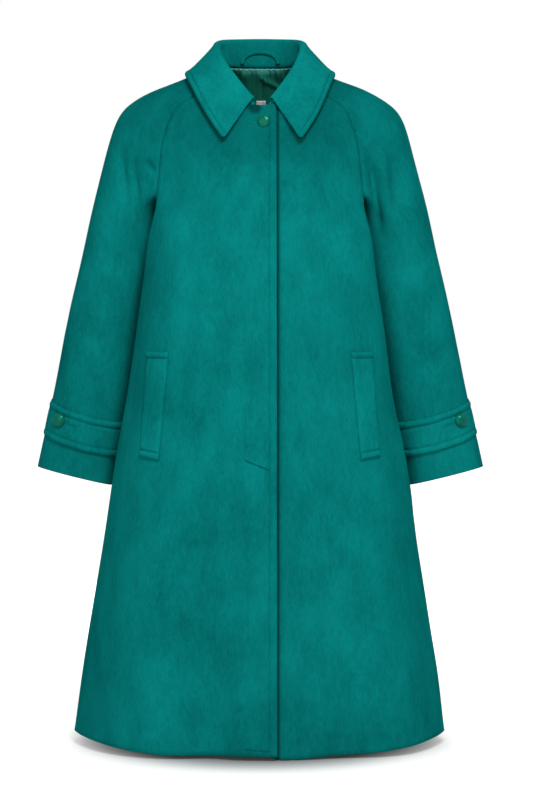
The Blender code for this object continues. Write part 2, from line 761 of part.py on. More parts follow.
def strap_line(count):
    """Return bearing and drop along the middle line of the strap."""
    stations = np.array(STRAP)
    turn = np.linspace(0.0, 1.0, count)
    share = np.linspace(0.0, 1.0, len(stations))
    return np.interp(turn, share, stations[:, 0]), np.interp(turn, share, stations[:, 1])


def build_strap(name, skins, side):
    """Add one cuff strap, with a blunt point at its free end."""
    tree = tree_of(skins)
    length, width = STRAP_STEPS
    bearings, drops = strap_line(length + 1)
    grid = []
    for i in range(length + 1):
        row = []
        for u in np.linspace(-0.5, 0.5, width + 1):
            near = smooth_step((i - length + 5) / 5.0)
            bearing = bearings[i] + near * (2.0 * u) ** 2 * math.degrees(STRAP_TIP / 0.055)
            row.append(sleeve_point(tree, side, bearing, drops[i] + u * STRAP_WIDTH)[0])
        grid.append(row)
    grid = np.array(grid)
    if side < 0:
        grid = grid[:, ::-1]
    place, faces = sheet_wall(grid, TRIM_LIFT + STRAP_WALL, TRIM_LIFT)
    add_piece(name, place, faces, "wool")


def build_button(name, seat, normal):
    """Add one turned button on its seat."""
    normal = unit(normal)
    across = unit(np.cross(np.array([0.0, 0.0, 1.0]), normal))
    upward = np.cross(normal, across)
    points = [seat + normal * BUTTON_PROFILE[0][1] * BUTTON_RADIUS]
    rings = BUTTON_PROFILE[1:]
    for radius, height in rings:
        for k in range(BUTTON_SIDES):
            turn = 2.0 * math.pi * k / BUTTON_SIDES
            reach = (across * math.cos(turn) + upward * math.sin(turn)) * radius
            points.append(seat + (reach + normal * height) * BUTTON_RADIUS)
    points.append(seat)
    last = len(points) - 1
    faces = []
    for k in range(BUTTON_SIDES):
        j = (k + 1) % BUTTON_SIDES
        faces.append((0, 1 + k, 1 + j))
        for i in range(len(rings) - 1):
            a = 1 + i * BUTTON_SIDES
            b = a + BUTTON_SIDES
            faces.append((a + k, b + k, b + j, a + j))
        faces.append((b + j, b + k, last))
    add_piece(name, points, faces, "button_gloss")


def build_buttons(skins):
    """Add the neck button and the two cuff buttons."""
    hit, normal = on_front(tree_of([skins["front_right"]]), *NECK_BUTTON)
    build_button("button_neck", hit + normal * 2.0 * SEAM_GAP, normal)
    for side, label in ((1.0, "left"), (-1.0, "right")):
        sleeve = [skins[f"sleeve_{label}_front"], skins[f"sleeve_{label}_back"]]
        hit, normal = sleeve_point(tree_of(sleeve), side, *STRAP_BUTTON)
        lift = TRIM_LIFT + STRAP_WALL + 2.0 * SEAM_GAP
        build_button(f"button_cuff_{label}", hit + normal * lift, normal)


def tube(name, path, radii, slot):
    """Add a flattened cord along a path that lies in an upright plane facing -Y."""
    sides = 8
    ahead = unit(np.gradient(path, axis=0))
    depth = np.array([0.0, -1.0, 0.0])
    points = []
    for place, step in zip(path, ahead):
        across = unit(np.cross(step, depth))
        for k in range(sides):
            turn = 2.0 * math.pi * k / sides
            points.append(place + across * math.cos(turn) * radii[0] + depth * math.sin(turn) * radii[1])
    faces = [tuple(range(sides))]
    for i in range(len(path) - 1):
        for k in range(sides):
            j = (k + 1) % sides
            a = i * sides
            b = a + sides
            faces.append((a + k, b + k, b + j, a + j))
    last = (len(path) - 1) * sides
    faces.append(tuple(last + k for k in reversed(range(sides))))
    add_piece(name, points, faces, slot)


def build_loop(collar):
    """Add the hanger loop in front of the stand at the back of the neck."""
    middle = collar[len(collar) // 2]
    stand = collar[:, :STAND_STEPS + 2]
    tree = tree_of([(stand.reshape(-1, 3), grid_cells(*stand.shape[:2]))])
    turn = np.linspace(0.0, math.pi, 19)
    x = -LOOP_SPAN * np.cos(turn)
    z = middle[0, 2] + 0.004 + LOOP_RISE * np.sin(turn) ** 0.8
    path = []
    for i in range(len(turn)):
        hit = tree.ray_cast(Vector((x[i], 0.0, z[i])), Vector((0.0, 1.0, 0.0)))[0]
        path.append((x[i], hit.y - COLLAR_WALL / 2.0 - LOOP_RADII[1] - 0.0012, z[i]))
    tube("hanger_loop", np.array(path), LOOP_RADII, "wool")


def build_lining(surface):
    """Add the lining of the back and the bare label on it."""
    cells = surface.part("back")
    middle_z = surface.points[cells][:, :, 2].mean(axis=1)
    cells = cells[middle_z > LINING_END]
    outer = -(CLOTH + SEAM_GAP)
    place, faces = wall(surface.points, surface.normals, cells, outer, outer - LINING)
    add_piece("lining_back", place, faces, "satin")
    inside = surface.points + surface.normals * (outer - LINING)
    tree = tree_of([(inside, cells)])
    half = LABEL_SIZE[0] / 2.0
    grid = []
    for z in np.linspace(LABEL_TOP, LABEL_TOP - LABEL_SIZE[1], 6):
        row = []
        for x in np.linspace(-half, half, 11):
            hit = tree.ray_cast(Vector((x, -0.02, z)), Vector((0.0, 1.0, 0.0)))[0]
            row.append(np.array(hit))
        grid.append(row)
    place, faces = sheet_wall(np.array(grid), 2.0 * SEAM_GAP + LABEL_WALL, 2.0 * SEAM_GAP)
    add_piece("label", place, faces, "label_weave")


def main():
    """Build the coat."""
    clear_scene()
    surface = fluted(subdivided(*coat_cage().mirrored(), CELL_LEVEL))
    skins = build_panels(surface)
    collar = build_collar(surface, skins)
    for side, label in ((1.0, "left"), (-1.0, "right")):
        build_welt(f"pocket_welt_{label}", skins[f"front_{label}"], side)
        sleeve = [skins[f"sleeve_{label}_front"], skins[f"sleeve_{label}_back"]]
        build_strap(f"cuff_strap_{label}", sleeve, side)
    build_buttons(skins)
    build_loop(collar)
    build_lining(surface)


main()
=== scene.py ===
"""Looks of a raglan overcoat: brushed wool panels, collar, welts, cuff straps, buttons and lining.

Metres, +Z up, the front faces -Y and the wearer's left is +X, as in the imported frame.
"""

import logging
import math
from dataclasses import dataclass, field
from enum import Enum
from typing import Callable, NamedTuple, Sequence

import bpy
import numpy as np
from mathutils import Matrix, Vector
from mathutils.bvhtree import BVHTree
from mathutils.kdtree import KDTree


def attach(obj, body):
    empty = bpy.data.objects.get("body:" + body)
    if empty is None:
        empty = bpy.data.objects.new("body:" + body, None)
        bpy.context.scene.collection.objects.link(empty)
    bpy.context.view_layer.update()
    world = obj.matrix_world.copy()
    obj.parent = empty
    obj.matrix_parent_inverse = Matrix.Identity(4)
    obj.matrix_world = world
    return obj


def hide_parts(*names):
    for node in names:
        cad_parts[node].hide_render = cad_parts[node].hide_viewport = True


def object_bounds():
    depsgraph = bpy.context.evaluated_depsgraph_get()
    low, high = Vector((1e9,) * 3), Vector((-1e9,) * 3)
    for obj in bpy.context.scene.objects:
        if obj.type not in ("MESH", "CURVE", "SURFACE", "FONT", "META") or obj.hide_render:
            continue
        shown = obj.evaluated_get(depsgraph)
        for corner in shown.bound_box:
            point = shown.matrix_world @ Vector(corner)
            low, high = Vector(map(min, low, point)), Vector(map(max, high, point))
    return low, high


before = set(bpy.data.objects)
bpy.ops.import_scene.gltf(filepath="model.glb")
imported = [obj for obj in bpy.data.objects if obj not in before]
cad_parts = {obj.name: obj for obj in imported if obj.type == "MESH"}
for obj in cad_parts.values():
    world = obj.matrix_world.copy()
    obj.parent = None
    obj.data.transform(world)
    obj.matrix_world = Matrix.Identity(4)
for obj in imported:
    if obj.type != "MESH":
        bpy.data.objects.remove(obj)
CAD_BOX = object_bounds()
LOG = logging.getLogger("overcoat")

Array = np.ndarray
Colour = tuple[float, float, float]
Point = tuple[float, float, float]
Pair = tuple[float, float]
Socket = bpy.types.NodeSocket
Outputs = bpy.types.NodeOutputs

CLOTH = 0.0030
SEAM_GAP = 0.0003
LINING = 0.0010
COARSE_LEVEL = 1
FINE_LEVEL = 4
FIT_ROUNDS = 14
LAP_HALF = 0.0275
HEM_LIFT_SPAN = (0.63, 0.30)
TRIM_LIFT = 0.0006
TRIM_ROUND = 0.0006
NECK_LOW = -0.15
AHEAD = Vector((0.0, 1.0, 0.0))


class Slot(Enum):
    """Material slots of the record."""

    WOOL = "wool"
    SATIN = "satin"
    BUTTON = "button_gloss"
    LABEL = "label_weave"


class Held(Enum):
    """Ways in which a sheet of cloth is held."""

    HUNG = "hung"
    FOLDED = "folded"
    LAID = "laid"
    GATHERED = "gathered"


class Side(Enum):
    """Sides of the wearer, with the sign of their x."""

    LEFT = 1.0
    RIGHT = -1.0

    @property
    def label(self) -> str:
        """Return the word that node names use."""
        return self.name.lower()


class Facing(Enum):
    """Faces of the coat, with the direction in which one looks at each."""

    FRONT = (0.0, 1.0, 0.0)
    BACK = (0.0, -1.0, 0.0)


class YokeRing(NamedTuple):
    """A ring of the yoke: (y, z) on the middle planes, (x, y, z) elsewhere, and bows between."""

    front: Pair
    raglan_front: Point
    shoulder: Point
    raglan_back: Point
    back: Pair
    bow_front: float
    bow_cap_front: float
    bow_cap_back: float
    bow_back: float
    share: float
    dip: float


class BodyRing(NamedTuple):
    """A level ring of the body, with its front and rear corners and the hollow under the sleeve."""

    z: float
    front_y: float
    side_x: float
    side_y: float
    hollow: float
    rear_x: float
    rear_y: float
    back_y: float
    round: float
    lift: float


class SleeveRing(NamedTuple):
    """A ring of the sleeve, leaning outward by tilt degrees."""

    outer_x: float
    outer_z: float
    width: float
    depth: float
    middle_y: float
    tilt: float


class Flute(NamedTuple):
    """A soft flute toward the hem: bearing and half width in degrees, depth and starting height."""

    bearing: float
    spread: float
    depth: float
    top: float


class Crease(NamedTuple):
    """A soft trough (depth below 0) or ridge: its path as seen on one face, half width and depth."""

    facing: Facing
    on_sleeve: bool
    path: tuple[Pair, ...]
    width: float
    depth: float


class CollarStation(NamedTuple):
    """A collar section: bearing of the seam, roll, free edge, roll radius, lean and shift toward +X."""

    bearing: float
    roll: Point
    edge: Point
    radius: float
    lean: float
    shift: float


class SoftBox(NamedTuple):
    """A round soft light: its place, width in metres and power in watts."""

    name: str
    place: Point
    size: float
    power: float


class Cut(NamedTuple):
    """The flat cut of a cloth piece: width, length, area, how it is held and the piece it is held on."""

    width: float
    length: float
    area: float
    held: Held
    on: str


YOKE = (
    YokeRing((-0.088, -0.084), (0.064, -0.038, -0.024), (0.071, 0.005, -0.001),
             (0.056, 0.048, 0.002), (0.070, 0.001), 0.0145, 0.004, 0.004, 0.0075, 0.50, 0.023),
    YokeRing((-0.102, -0.105), (0.100, -0.062, -0.060), (0.118, 0.004, -0.0255),
             (0.088, 0.075, -0.022), (0.090, -0.025), 0.014, 0.008, 0.008, 0.007, 0.50, 0.008),
    YokeRing((-0.112, -0.130), (0.132, -0.080, -0.082), (0.168, 0.002, -0.0450),
             (0.118, 0.098, -0.050), (0.110, -0.058), 0.012, 0.014, 0.014, 0.006, 0.50, 0.004),
    YokeRing((-0.123, -0.158), (0.150, -0.090, -0.117), (0.2125, 0.000, -0.0705),
             (0.138, 0.108, -0.092), (0.126, -0.098), 0.013, 0.018, 0.018, 0.008, 0.50, 0.0),
    YokeRing((-0.134, -0.192), (0.161, -0.088, -0.163), (0.2405, 0.000, -0.112),
             (0.150, 0.106, -0.147), (0.138, -0.150), 0.0165, 0.022, 0.024, 0.012, 0.54, 0.0),
    YokeRing((-0.144, -0.235), (0.169, -0.074, -0.227), (0.263, 0.002, -0.195),
             (0.158, 0.090, -0.224), (0.146, -0.228), 0.031, 0.025, 0.026, 0.027, 0.60, 0.0),
)
UNDERARM = (0.152, 0.006, -0.180)
BODY = (
    BodyRing(-0.285, -0.1510, 0.177, -0.080, 0.026, 0.169, 0.091, 0.150, 2.05, 0.0),
    BodyRing(-0.345, -0.1570, 0.1855, -0.079, 0.024, 0.180, 0.089, 0.152, 2.12, 0.0),
    BodyRing(-0.430, -0.1645, 0.1985, -0.075, 0.018, 0.194, 0.085, 0.155, 2.20, 0.0),
    BodyRing(-0.545, -0.1730, 0.2145, -0.068, 0.011, 0.210, 0.080, 0.162, 2.25, 0.0),
    BodyRing(-0.680, -0.1840, 0.2365, -0.060, 0.006, 0.232, 0.074, 0.172, 2.25, 0.0),
    BodyRing(-0.830, -0.1970, 0.261, -0.052, 0.001, 0.258, 0.066, 0.186, 2.20, 0.0),
    BodyRing(-0.975, -0.2100, 0.283, -0.046, 0.000, 0.281, 0.060, 0.200, 2.15, 0.003),
    BodyRing(-1.111, -0.2220, 0.3015, -0.042, 0.000, 0.300, 0.056, 0.214, 2.10, 0.012),
)
SLEEVE = (
    SleeveRing(0.2800, -0.262, 0.114, 0.142, 0.008, 5.0),
    SleeveRing(0.2970, -0.335, 0.119, 0.132, 0.010, 8.0),
    SleeveRing(0.3175, -0.425, 0.122, 0.121, 0.012, 11.0),
    SleeveRing(0.3375, -0.525, 0.124, 0.110, 0.015, 13.0),
    SleeveRing(0.3575, -0.612, 0.126, 0.102, 0.018, 14.0),
    SleeveRing(0.3700, -0.668, 0.128, 0.097, 0.020, 14.0),
)
SLEEVE_BEARINGS = (121.0, 82.0, 43.0, 4.0, -39.0, -82.0, -122.0, -151.0, -180.0, 150.0)
FLUTES = (
    Flute(-40.0, 13.0, 0.007, -0.62),
    Flute(-21.0, 9.0, -0.012, -0.70),
    Flute(30.0, 11.0, -0.006, -0.68),
    Flute(52.0, 12.0, 0.006, -0.62),
    Flute(-112.0, 13.0, -0.008, -0.60),
    Flute(-150.0, 14.0, 0.009, -0.52),
    Flute(174.0, 13.0, -0.010, -0.56),
    Flute(138.0, 14.0, 0.009, -0.52),
    Flute(106.0, 13.0, -0.008, -0.62),
)
CREASES = (
    Crease(Facing.FRONT, True, ((-0.226, -0.150), (-0.221, -0.185), (-0.206, -0.272)), 0.0090, -0.0050),
    Crease(Facing.FRONT, True, ((-0.207, -0.160), (-0.203, -0.205), (-0.195, -0.285)), 0.0070, -0.0045),
    Crease(Facing.FRONT, True, ((-0.214, -0.165), (-0.210, -0.210), (-0.200, -0.275)), 0.0080, 0.0035),
    Crease(Facing.FRONT, True, ((-0.185, -0.172), (-0.177, -0.183), (-0.169, -0.194)), 0.0050, -0.0030),
    Crease(Facing.FRONT, True, ((-0.262, -0.300), (-0.245, -0.330), (-0.222, -0.350)), 0.0160, -0.0030),
    Crease(Facing.FRONT, True, ((-0.300, -0.430), (-0.270, -0.455), (-0.240, -0.470)), 0.0180, -0.0028),
    Crease(Facing.FRONT, True, ((0.176, -0.160), (0.183, -0.190), (0.193, -0.285)), 0.0080, -0.0070),
    Crease(Facing.FRONT, True, ((0.196, -0.150), (0.201, -0.190), (0.208, -0.270)), 0.0100, 0.0050),
    Crease(Facing.FRONT, True, ((0.222, -0.150), (0.224, -0.190), (0.226, -0.260)), 0.0120, -0.0035),
    Crease(Facing.FRONT, True, ((0.268, -0.320), (0.250, -0.345), (0.228, -0.362)), 0.0160, -0.0028),
    Crease(Facing.FRONT, True, ((0.304, -0.470), (0.280, -0.490), (0.250, -0.498)), 0.0180, -0.0028),
    Crease(Facing.FRONT, False, ((-0.092, -0.250), (-0.087, -0.340), (-0.082, -0.460)), 0.0180, -0.0028),
    Crease(Facing.FRONT, False, ((-0.128, -0.230), (-0.130, -0.320), (-0.132, -0.440)), 0.0220, 0.0024),
    Crease(Facing.FRONT, False, ((0.060, -0.380), (0.058, -0.600), (0.064, -0.860)), 0.0260, 0.0030),
    Crease(Facing.FRONT, False, ((0.098, -0.240), (0.102, -0.330), (0.100, -0.450)), 0.0200, -0.0022),
    Crease(Facing.FRONT, False, ((-0.050, -0.319), (-0.022, -0.322), (0.003, -0.320)), 0.0050, -0.0010),
    Crease(Facing.FRONT, False, ((-0.074, -0.580), (-0.030, -0.583), (0.018, -0.581)), 0.0060, -0.0012),
    Crease(Facing.FRONT, False, ((-0.072, -0.651), (-0.030, -0.654), (0.004, -0.652)), 0.0060, -0.0012),
    Crease(Facing.FRONT, False, ((-0.150, -0.700), (-0.140, -0.850), (-0.135, -1.000)), 0.0240, -0.0030),
    Crease(Facing.FRONT, False, ((0.150, -0.700), (0.146, -0.860), (0.150, -1.010)), 0.0240, -0.0028),
    Crease(Facing.FRONT, False, ((0.222, -0.580), (0.237, -0.670), (0.250, -0.750)), 0.0220, 0.0024),
    Crease(Facing.BACK, True, ((-0.215, -0.160), (-0.205, -0.210), (-0.192, -0.285)), 0.0090, -0.0055),
    Crease(Facing.BACK, True, ((-0.285, -0.370), (-0.255, -0.395), (-0.228, -0.405)), 0.0150, -0.0038),
    Crease(Facing.BACK, True, ((-0.300, -0.440), (-0.270, -0.450), (-0.240, -0.448)), 0.0150, -0.0032),
    Crease(Facing.BACK, True, ((0.210, -0.150), (0.203, -0.210), (0.190, -0.290)), 0.0090, -0.0055),
    Crease(Facing.BACK, True, ((0.288, -0.380), (0.260, -0.400), (0.230, -0.415)), 0.0150, -0.0038),
    Crease(Facing.BACK, True, ((0.305, -0.455), (0.275, -0.462), (0.244, -0.455)), 0.0150, -0.0030),
    Crease(Facing.BACK, False, ((-0.110, -0.200), (-0.102, -0.330), (-0.098, -0.520)), 0.0200, -0.0040),
    Crease(Facing.BACK, False, ((0.112, -0.210), (0.106, -0.340), (0.100, -0.500)), 0.0200, -0.0036),
    Crease(Facing.BACK, False, ((-0.020, -0.300), (-0.012, -0.480), (-0.018, -0.700)), 0.0260, -0.0030),
    Crease(Facing.BACK, False, ((0.060, -0.420), (0.052, -0.620), (0.058, -0.800)), 0.0260, 0.0030),
)
COLLAR = (
    CollarStation(8.0, (0.0135, -0.086, -0.0735), (0.0607, -0.130, -0.1475), 0.0038, 1.0, 0.004),
    CollarStation(32.0, (0.0410, -0.067, -0.0385), (0.0950, -0.099, -0.0945), 0.0042, 0.8, 0.0025),
    CollarStation(55.0, (0.0595, -0.042, -0.0050), (0.1130, -0.062, -0.053), 0.0046, 0.5, 0.001),
    CollarStation(82.0, (0.0685, -0.008, 0.0220), (0.1215, -0.012, -0.0300), 0.0048, 0.2, 0.0005),
    CollarStation(116.0, (0.0660, 0.036, 0.0390), (0.1095, 0.052, -0.026), 0.0050, 0.0, 0.0),
    CollarStation(148.0, (0.0400, 0.069, 0.0460), (0.0700, 0.108, -0.028), 0.0050, 0.0, 0.0),
    CollarStation(180.0, (0.0000, 0.078, 0.0480), (0.0000, 0.119, -0.031), 0.0050, 0.0, 0.0),
)


def unit(vectors: Array) -> Array:
    """Return the vectors at unit length."""
    vectors = np.asarray(vectors, dtype=float)
    return vectors / np.maximum(np.linalg.norm(vectors, axis=-1, keepdims=True), 1e-12)


def smooth_step(value: Array) -> Array:
    """Ease from 0 to 1."""
    value = np.clip(value, 0.0, 1.0)
    return value * value * (3.0 - 2.0 * value)


def bell(value: Array) -> Array:
    """Return a soft bump of height 1 at 0 that has faded at about 2."""
    return np.exp(-np.square(value))


def below(z: Array, span: Pair) -> Array:
    """Ease from 0 at the first height of a span to 1 at its second number of metres below."""
    return smooth_step((span[0] - z) / span[1])


def spline(knots: Sequence, steps: int, closed: bool = False) -> Array:
    """Return a smooth curve through knots.

    Args:
        knots: points of any dimension.
        steps: points from one knot to the next.
        closed: whether the curve returns to its start.

    Returns:
        The points of the curve; an open one ends on its last knot.
    """
    knots = np.asarray(knots, dtype=float)
    count = len(knots)
    following = np.roll(knots, -1, axis=0)
    chord = np.maximum(np.linalg.norm(following - knots, axis=1), 1e-9)
    system = np.zeros((count, count))
    right = np.zeros_like(knots)
    for i in range(count):
        if closed or 0 < i < count - 1:
            before, after = chord[i - 1], chord[i]
            system[i, i - 1] += 1.0 / before
            system[i, i] += 2.0 / before + 2.0 / after
            system[i, (i + 1) % count] += 1.0 / after
            right[i] += 3.0 * (knots[i] - knots[i - 1]) / before ** 2
            right[i] += 3.0 * (following[i] - knots[i]) / after ** 2
        else:
            near = 1 if i == 0 else count - 2
            span = chord[0] if i == 0 else chord[count - 2]
            system[i, i] = 2.0
            system[i, near] = 1.0
            right[i] = 3.0 * (knots[near] - knots[i]) / span * (1.0 if i == 0 else -1.0)
    slopes = np.linalg.solve(system, right)
    curve = []
    for i in range(count if closed else count - 1):
        j = (i + 1) % count
        for t in np.arange(steps) / steps:
            a = (1.0 + 2.0 * t) * (1.0 - t) ** 2
            b = t * t * (3.0 - 2.0 * t)
            c = t * (1.0 - t) ** 2 * chord[i]
            d = t * t * (t - 1.0) * chord[i]
            curve.append(a * knots[i] + b * knots[j] + c * slopes[i] + d * slopes[j])
    if not closed:
        curve.append(knots[-1])
    return np.array(curve)


def along(curve: Array, fractions: Sequence[float]) -> Array:
    """Return the points at fractions of the length of a curve.

    Args:
        curve: its points.
        fractions: shares of its length.

    Returns:
        The points.
    """
    steps = np.linalg.norm(np.diff(curve, axis=0), axis=1)
    length = np.concatenate([[0.0], np.cumsum(steps)])
    wanted = np.asarray(fractions) * length[-1]
    return np.stack([np.interp(wanted, length, curve[:, i]) for i in range(curve.shape[1])], axis=1)


def bezier(a: Array, b: Array, c: Array, d: Array, fractions: Sequence[float]) -> Array:
    """Return points on a cubic arc."""
    t = np.asarray(fractions)[:, None]
    return a * (1 - t) ** 3 + 3 * b * t * (1 - t) ** 2 + 3 * c * t * t * (1 - t) + d * t ** 3


def rim_edges(cells: Array) -> Array:
    """Return the edges that belong to one cell only, in the turning sense of that cell.

    Args:
        cells: cells of four points.

    Returns:
        Pairs of point numbers.
    """
    start = cells.ravel().astype(np.int64)
    end = np.roll(cells, -1, axis=1).ravel().astype(np.int64)
    size = int(cells.max()) + 1
    lone = ~np.isin(start * size + end, end * size + start)
    return np.stack([start[lone], end[lone]], axis=1)


def swept(values: Array, reach: int, how: Callable[..., Array]) -> Array:
    """Return the greatest or mean value in a square window round each place of a grid.

    Args:
        values: the grid.
        reach: steps to each side.
        how: np.max or np.mean.

    Returns:
        A grid of the same size.
    """
    for axis in (0, 1):
        pads = [(reach, reach) if a == axis else (0, 0) for a in (0, 1)]
        padded = np.pad(values, pads, mode="edge")
        window = np.lib.stride_tricks.sliding_window_view(padded, 2 * reach + 1, axis)
        values = how(window, axis=-1)
    return values


def tree_of(points: Array, cells: Array) -> BVHTree:
    """Return a search tree over points and cells."""
    return BVHTree.FromPolygons([Vector(p) for p in points], cells.tolist())


def tube(path: Array, across: Array, depth: Array, sides: int, closed: bool = False) -> tuple[Array, list]:
    """Return a tube along a path.

    Args:
        path: points of the middle line.
        across: half width vector at each point.
        depth: half depth vector at each point.
        sides: points of one ring.
        closed: whether the path returns to its start.

    Returns:
        Points and faces.
    """
    turn = np.linspace(0.0, 2.0 * math.pi, sides, endpoint=False)[None, :, None]
    points = path[:, None] + across[:, None] * np.cos(turn) + depth[:, None] * np.sin(turn)
    k = np.arange(sides)
    j = (k + 1) % sides
    count = len(path)
    faces = [] if closed else [tuple(k), tuple(count * sides - 1 - k)]
    for i in range(count if closed else count - 1):
        a, b = i * sides, (i + 1) % count * sides
        faces += zip(a + k, b + k, b + j, a + j)
    return points.reshape(-1, 3), faces


@dataclass
class Surface:
    """One face of cloth: points, unit normals and four-sided cells with the names of their panels."""

    points: Array
    cells: Array
    names: Array
    normals: Array = field(init=False)

    def __post_init__(self) -> None:
        """Work out the normals."""
        self.refresh()

    def refresh(self) -> None:
        """Work out the mean normal at each point."""
        p = self.points[self.cells]
        flat = unit(np.cross(p[:, 2] - p[:, 0], p[:, 3] - p[:, 1]))
        total = np.zeros_like(self.points)
        for corner in range(4):
            np.add.at(total, self.cells[:, corner], flat)
        self.normals = unit(total)

    def part(self, *names: str) -> Array:
        """Return the cells of the named panels."""
        return self.cells[np.isin(self.names, names)]

    def push(self, move: Array) -> None:
        """Move each point along its normal."""
        self.points = self.points + self.normals * move[:, None]
        self.refresh()

    @classmethod
    def of_grid(cls, grid: Array) -> "Surface":
        """Return the surface of a grid of points stored row by row.

        Args:
            grid: rows of points.

        Returns:
            The surface.
        """
        rows, columns = grid.shape[:2]
        first = (np.arange(rows - 1)[:, None] * columns + np.arange(columns - 1)).ravel()
        cells = np.stack([first, first + columns, first + columns + 1, first + 1], axis=1)
        return cls(grid.reshape(-1, 3), cells, np.full(len(cells), "sheet"))


def wall(face: Surface, cells: Array, outer: Array, inner: Array, roundness: Array | float = 0.0,
         gap: float = SEAM_GAP) -> tuple[Array, Array]:
    """Return a closed cloth wall with a rounded rim.

    Args:
        face: the face that carries the cloth.
        cells: the cells of it that the cloth covers.
        outer: distance of the outer side along the normals.
        inner: distance of the inner side along the normals.
        roundness: how far the two sides draw in behind the rim.
        gap: the seam gap, half of which is taken off the rim.

    Returns:
        Points and four-sided faces.
    """
    points, normals = face.points, face.normals
    used = np.unique(cells)
    number = np.full(len(points), -1)
    number[used] = np.arange(len(used))
    a, b = rim_edges(cells).T
    side = unit(np.cross(normals[a] + normals[b], points[b] - points[a]))
    draw = np.zeros_like(points)
    np.add.at(draw, a, side)
    np.add.at(draw, b, side)
    reach = np.minimum(2.0 / np.maximum(np.linalg.norm(draw, axis=1), 1e-9), 2.0)
    inward = unit(draw) * reach[:, None]
    rim = np.unique(np.concatenate([a, b]))
    on_rim = np.full(len(points), -1)
    on_rim[rim] = np.arange(len(rim))
    round_off = np.broadcast_to(roundness, len(points))[:, None]
    outer = np.broadcast_to(outer, len(points))[:, None]
    inner = np.broadcast_to(inner, len(points))[:, None]
    edge = points + inward * gap / 2.0
    base = edge + inward * round_off
    front = (base + normals * outer)[used]
    rear = (base + normals * inner)[used]
    middle = (edge + normals * (outer + inner) / 2.0)[rim]
    size = len(used)
    upper = number[cells]
    i, j = number[a], number[b]
    m, n = on_rim[a] + 2 * size, on_rim[b] + 2 * size
    faces = np.vstack([upper, upper[:, ::-1] + size, np.stack([j, i, m, n], axis=1),
                       np.stack([n, m, i + size, j + size], axis=1)])
    return np.vstack([front, rear, middle]), faces


class NodePen:
    """Adds and links nodes of one shader tree."""

    measures = ("LENGTH", "DISTANCE", "DOT_PRODUCT")

    def __init__(self, tree: bpy.types.NodeTree) -> None:
        """Start on a tree."""
        self.tree = tree

    def add(self, kind: str, inputs: dict | None = None, **settings: object) -> bpy.types.Node:
        """Add a node.

        Args:
            kind: the node's type.
            inputs: sockets by name or number, each a value or the socket that feeds it.
            settings: the node's own properties.

        Returns:
            The node.
        """
        node = self.tree.nodes.new(kind)
        for key, value in settings.items():
            setattr(node, key, value)
        for key, value in (inputs or {}).items():
            socket = node.inputs[key]
            if isinstance(value, Socket):
                self.tree.links.new(value, socket)
            else:
                socket.default_value = value
        return node

    def math(self, operation: str, *values: object) -> Socket:
        """Return the result of a Math node."""
        return self.add("ShaderNodeMath", dict(enumerate(values)), operation=operation).outputs[0]

    def vector(self, operation: str, *values: object) -> Socket:
        """Return the result of a Vector Math node, a number where the operation gives one."""
        node = self.add("ShaderNodeVectorMath", dict(enumerate(values)), operation=operation)
        return node.outputs["Value" if operation in self.measures else "Vector"]

    def stretched(self, vector: Socket, scale: Point) -> Socket:
        """Return coordinates that are scaled along each axis."""
        return self.vector("MULTIPLY", vector, scale)

    def noise(self, vector: Socket, scale: float, detail: float = 2.0) -> Socket:
        """Return a noise value from 0 to 1."""
        node = self.add("ShaderNodeTexNoise", {"Vector": vector, "Scale": scale, "Detail": detail})
        return node.outputs["Fac"]

    def ranged(self, value: Socket, low: float, high: object, to_low: float = 0.0, to_high: float = 1.0,
               how: str = "LINEAR") -> Socket:
        """Return a value mapped from one range to another."""
        inputs = {"Value": value, "From Min": low, "From Max": high, "To Min": to_low, "To Max": to_high}
        return self.add("ShaderNodeMapRange", inputs, interpolation_type=how).outputs["Result"]

    def mixed(self, share: object, first: object, second: object) -> Socket:
        """Return a mix of two colours, by the share of the second."""
        inputs = {0: share, 6: first, 7: second}
        return self.add("ShaderNodeMix", inputs, data_type="RGBA").outputs[2]


class ShaderGroup:
    """A shader node group that is built once and placed in any number of materials."""

    name = "group"
    inputs: dict[str, object] = {}
    outputs: dict[str, str] = {}

    def tree(self) -> bpy.types.NodeTree:
        """Return the group's tree, built at first use.

        Returns:
            The tree.
        """
        if self.name in bpy.data.node_groups:
            return bpy.data.node_groups[self.name]
        tree = bpy.data.node_groups.new(self.name, "ShaderNodeTree")
        for key, value in self.inputs.items():
            size = len(value) if isinstance(value, tuple) else 1
            kind = {1: "NodeSocketFloat", 3: "NodeSocketVector", 4: "NodeSocketColor"}[size]
            socket = tree.interface.new_socket(key, in_out="INPUT", socket_type=kind)
            socket.default_value = value
        for key, kind in self.outputs.items():
            tree.interface.new_socket(key, in_out="OUTPUT", socket_type=kind)
        pen = NodePen(tree)
        source = pen.add("NodeGroupInput")
        pen.add("NodeGroupOutput", self.wire(pen, source.outputs))
        return tree

    def wire(self, pen: NodePen, given: Outputs) -> dict[str, Socket]:
        """Build the inside of the group and return what feeds each output."""
        raise NotImplementedError

    def place(self, pen: NodePen, **values: object) -> Outputs:
        """Place the group in a material.

        Args:
            pen: adds the material's nodes.
            **values: inputs by name.

        Returns:
            The outputs.
        """
        node = pen.add("ShaderNodeGroup", node_tree=self.tree())
        for key, value in values.items():
            node.inputs[key].default_value = value
        return node.outputs


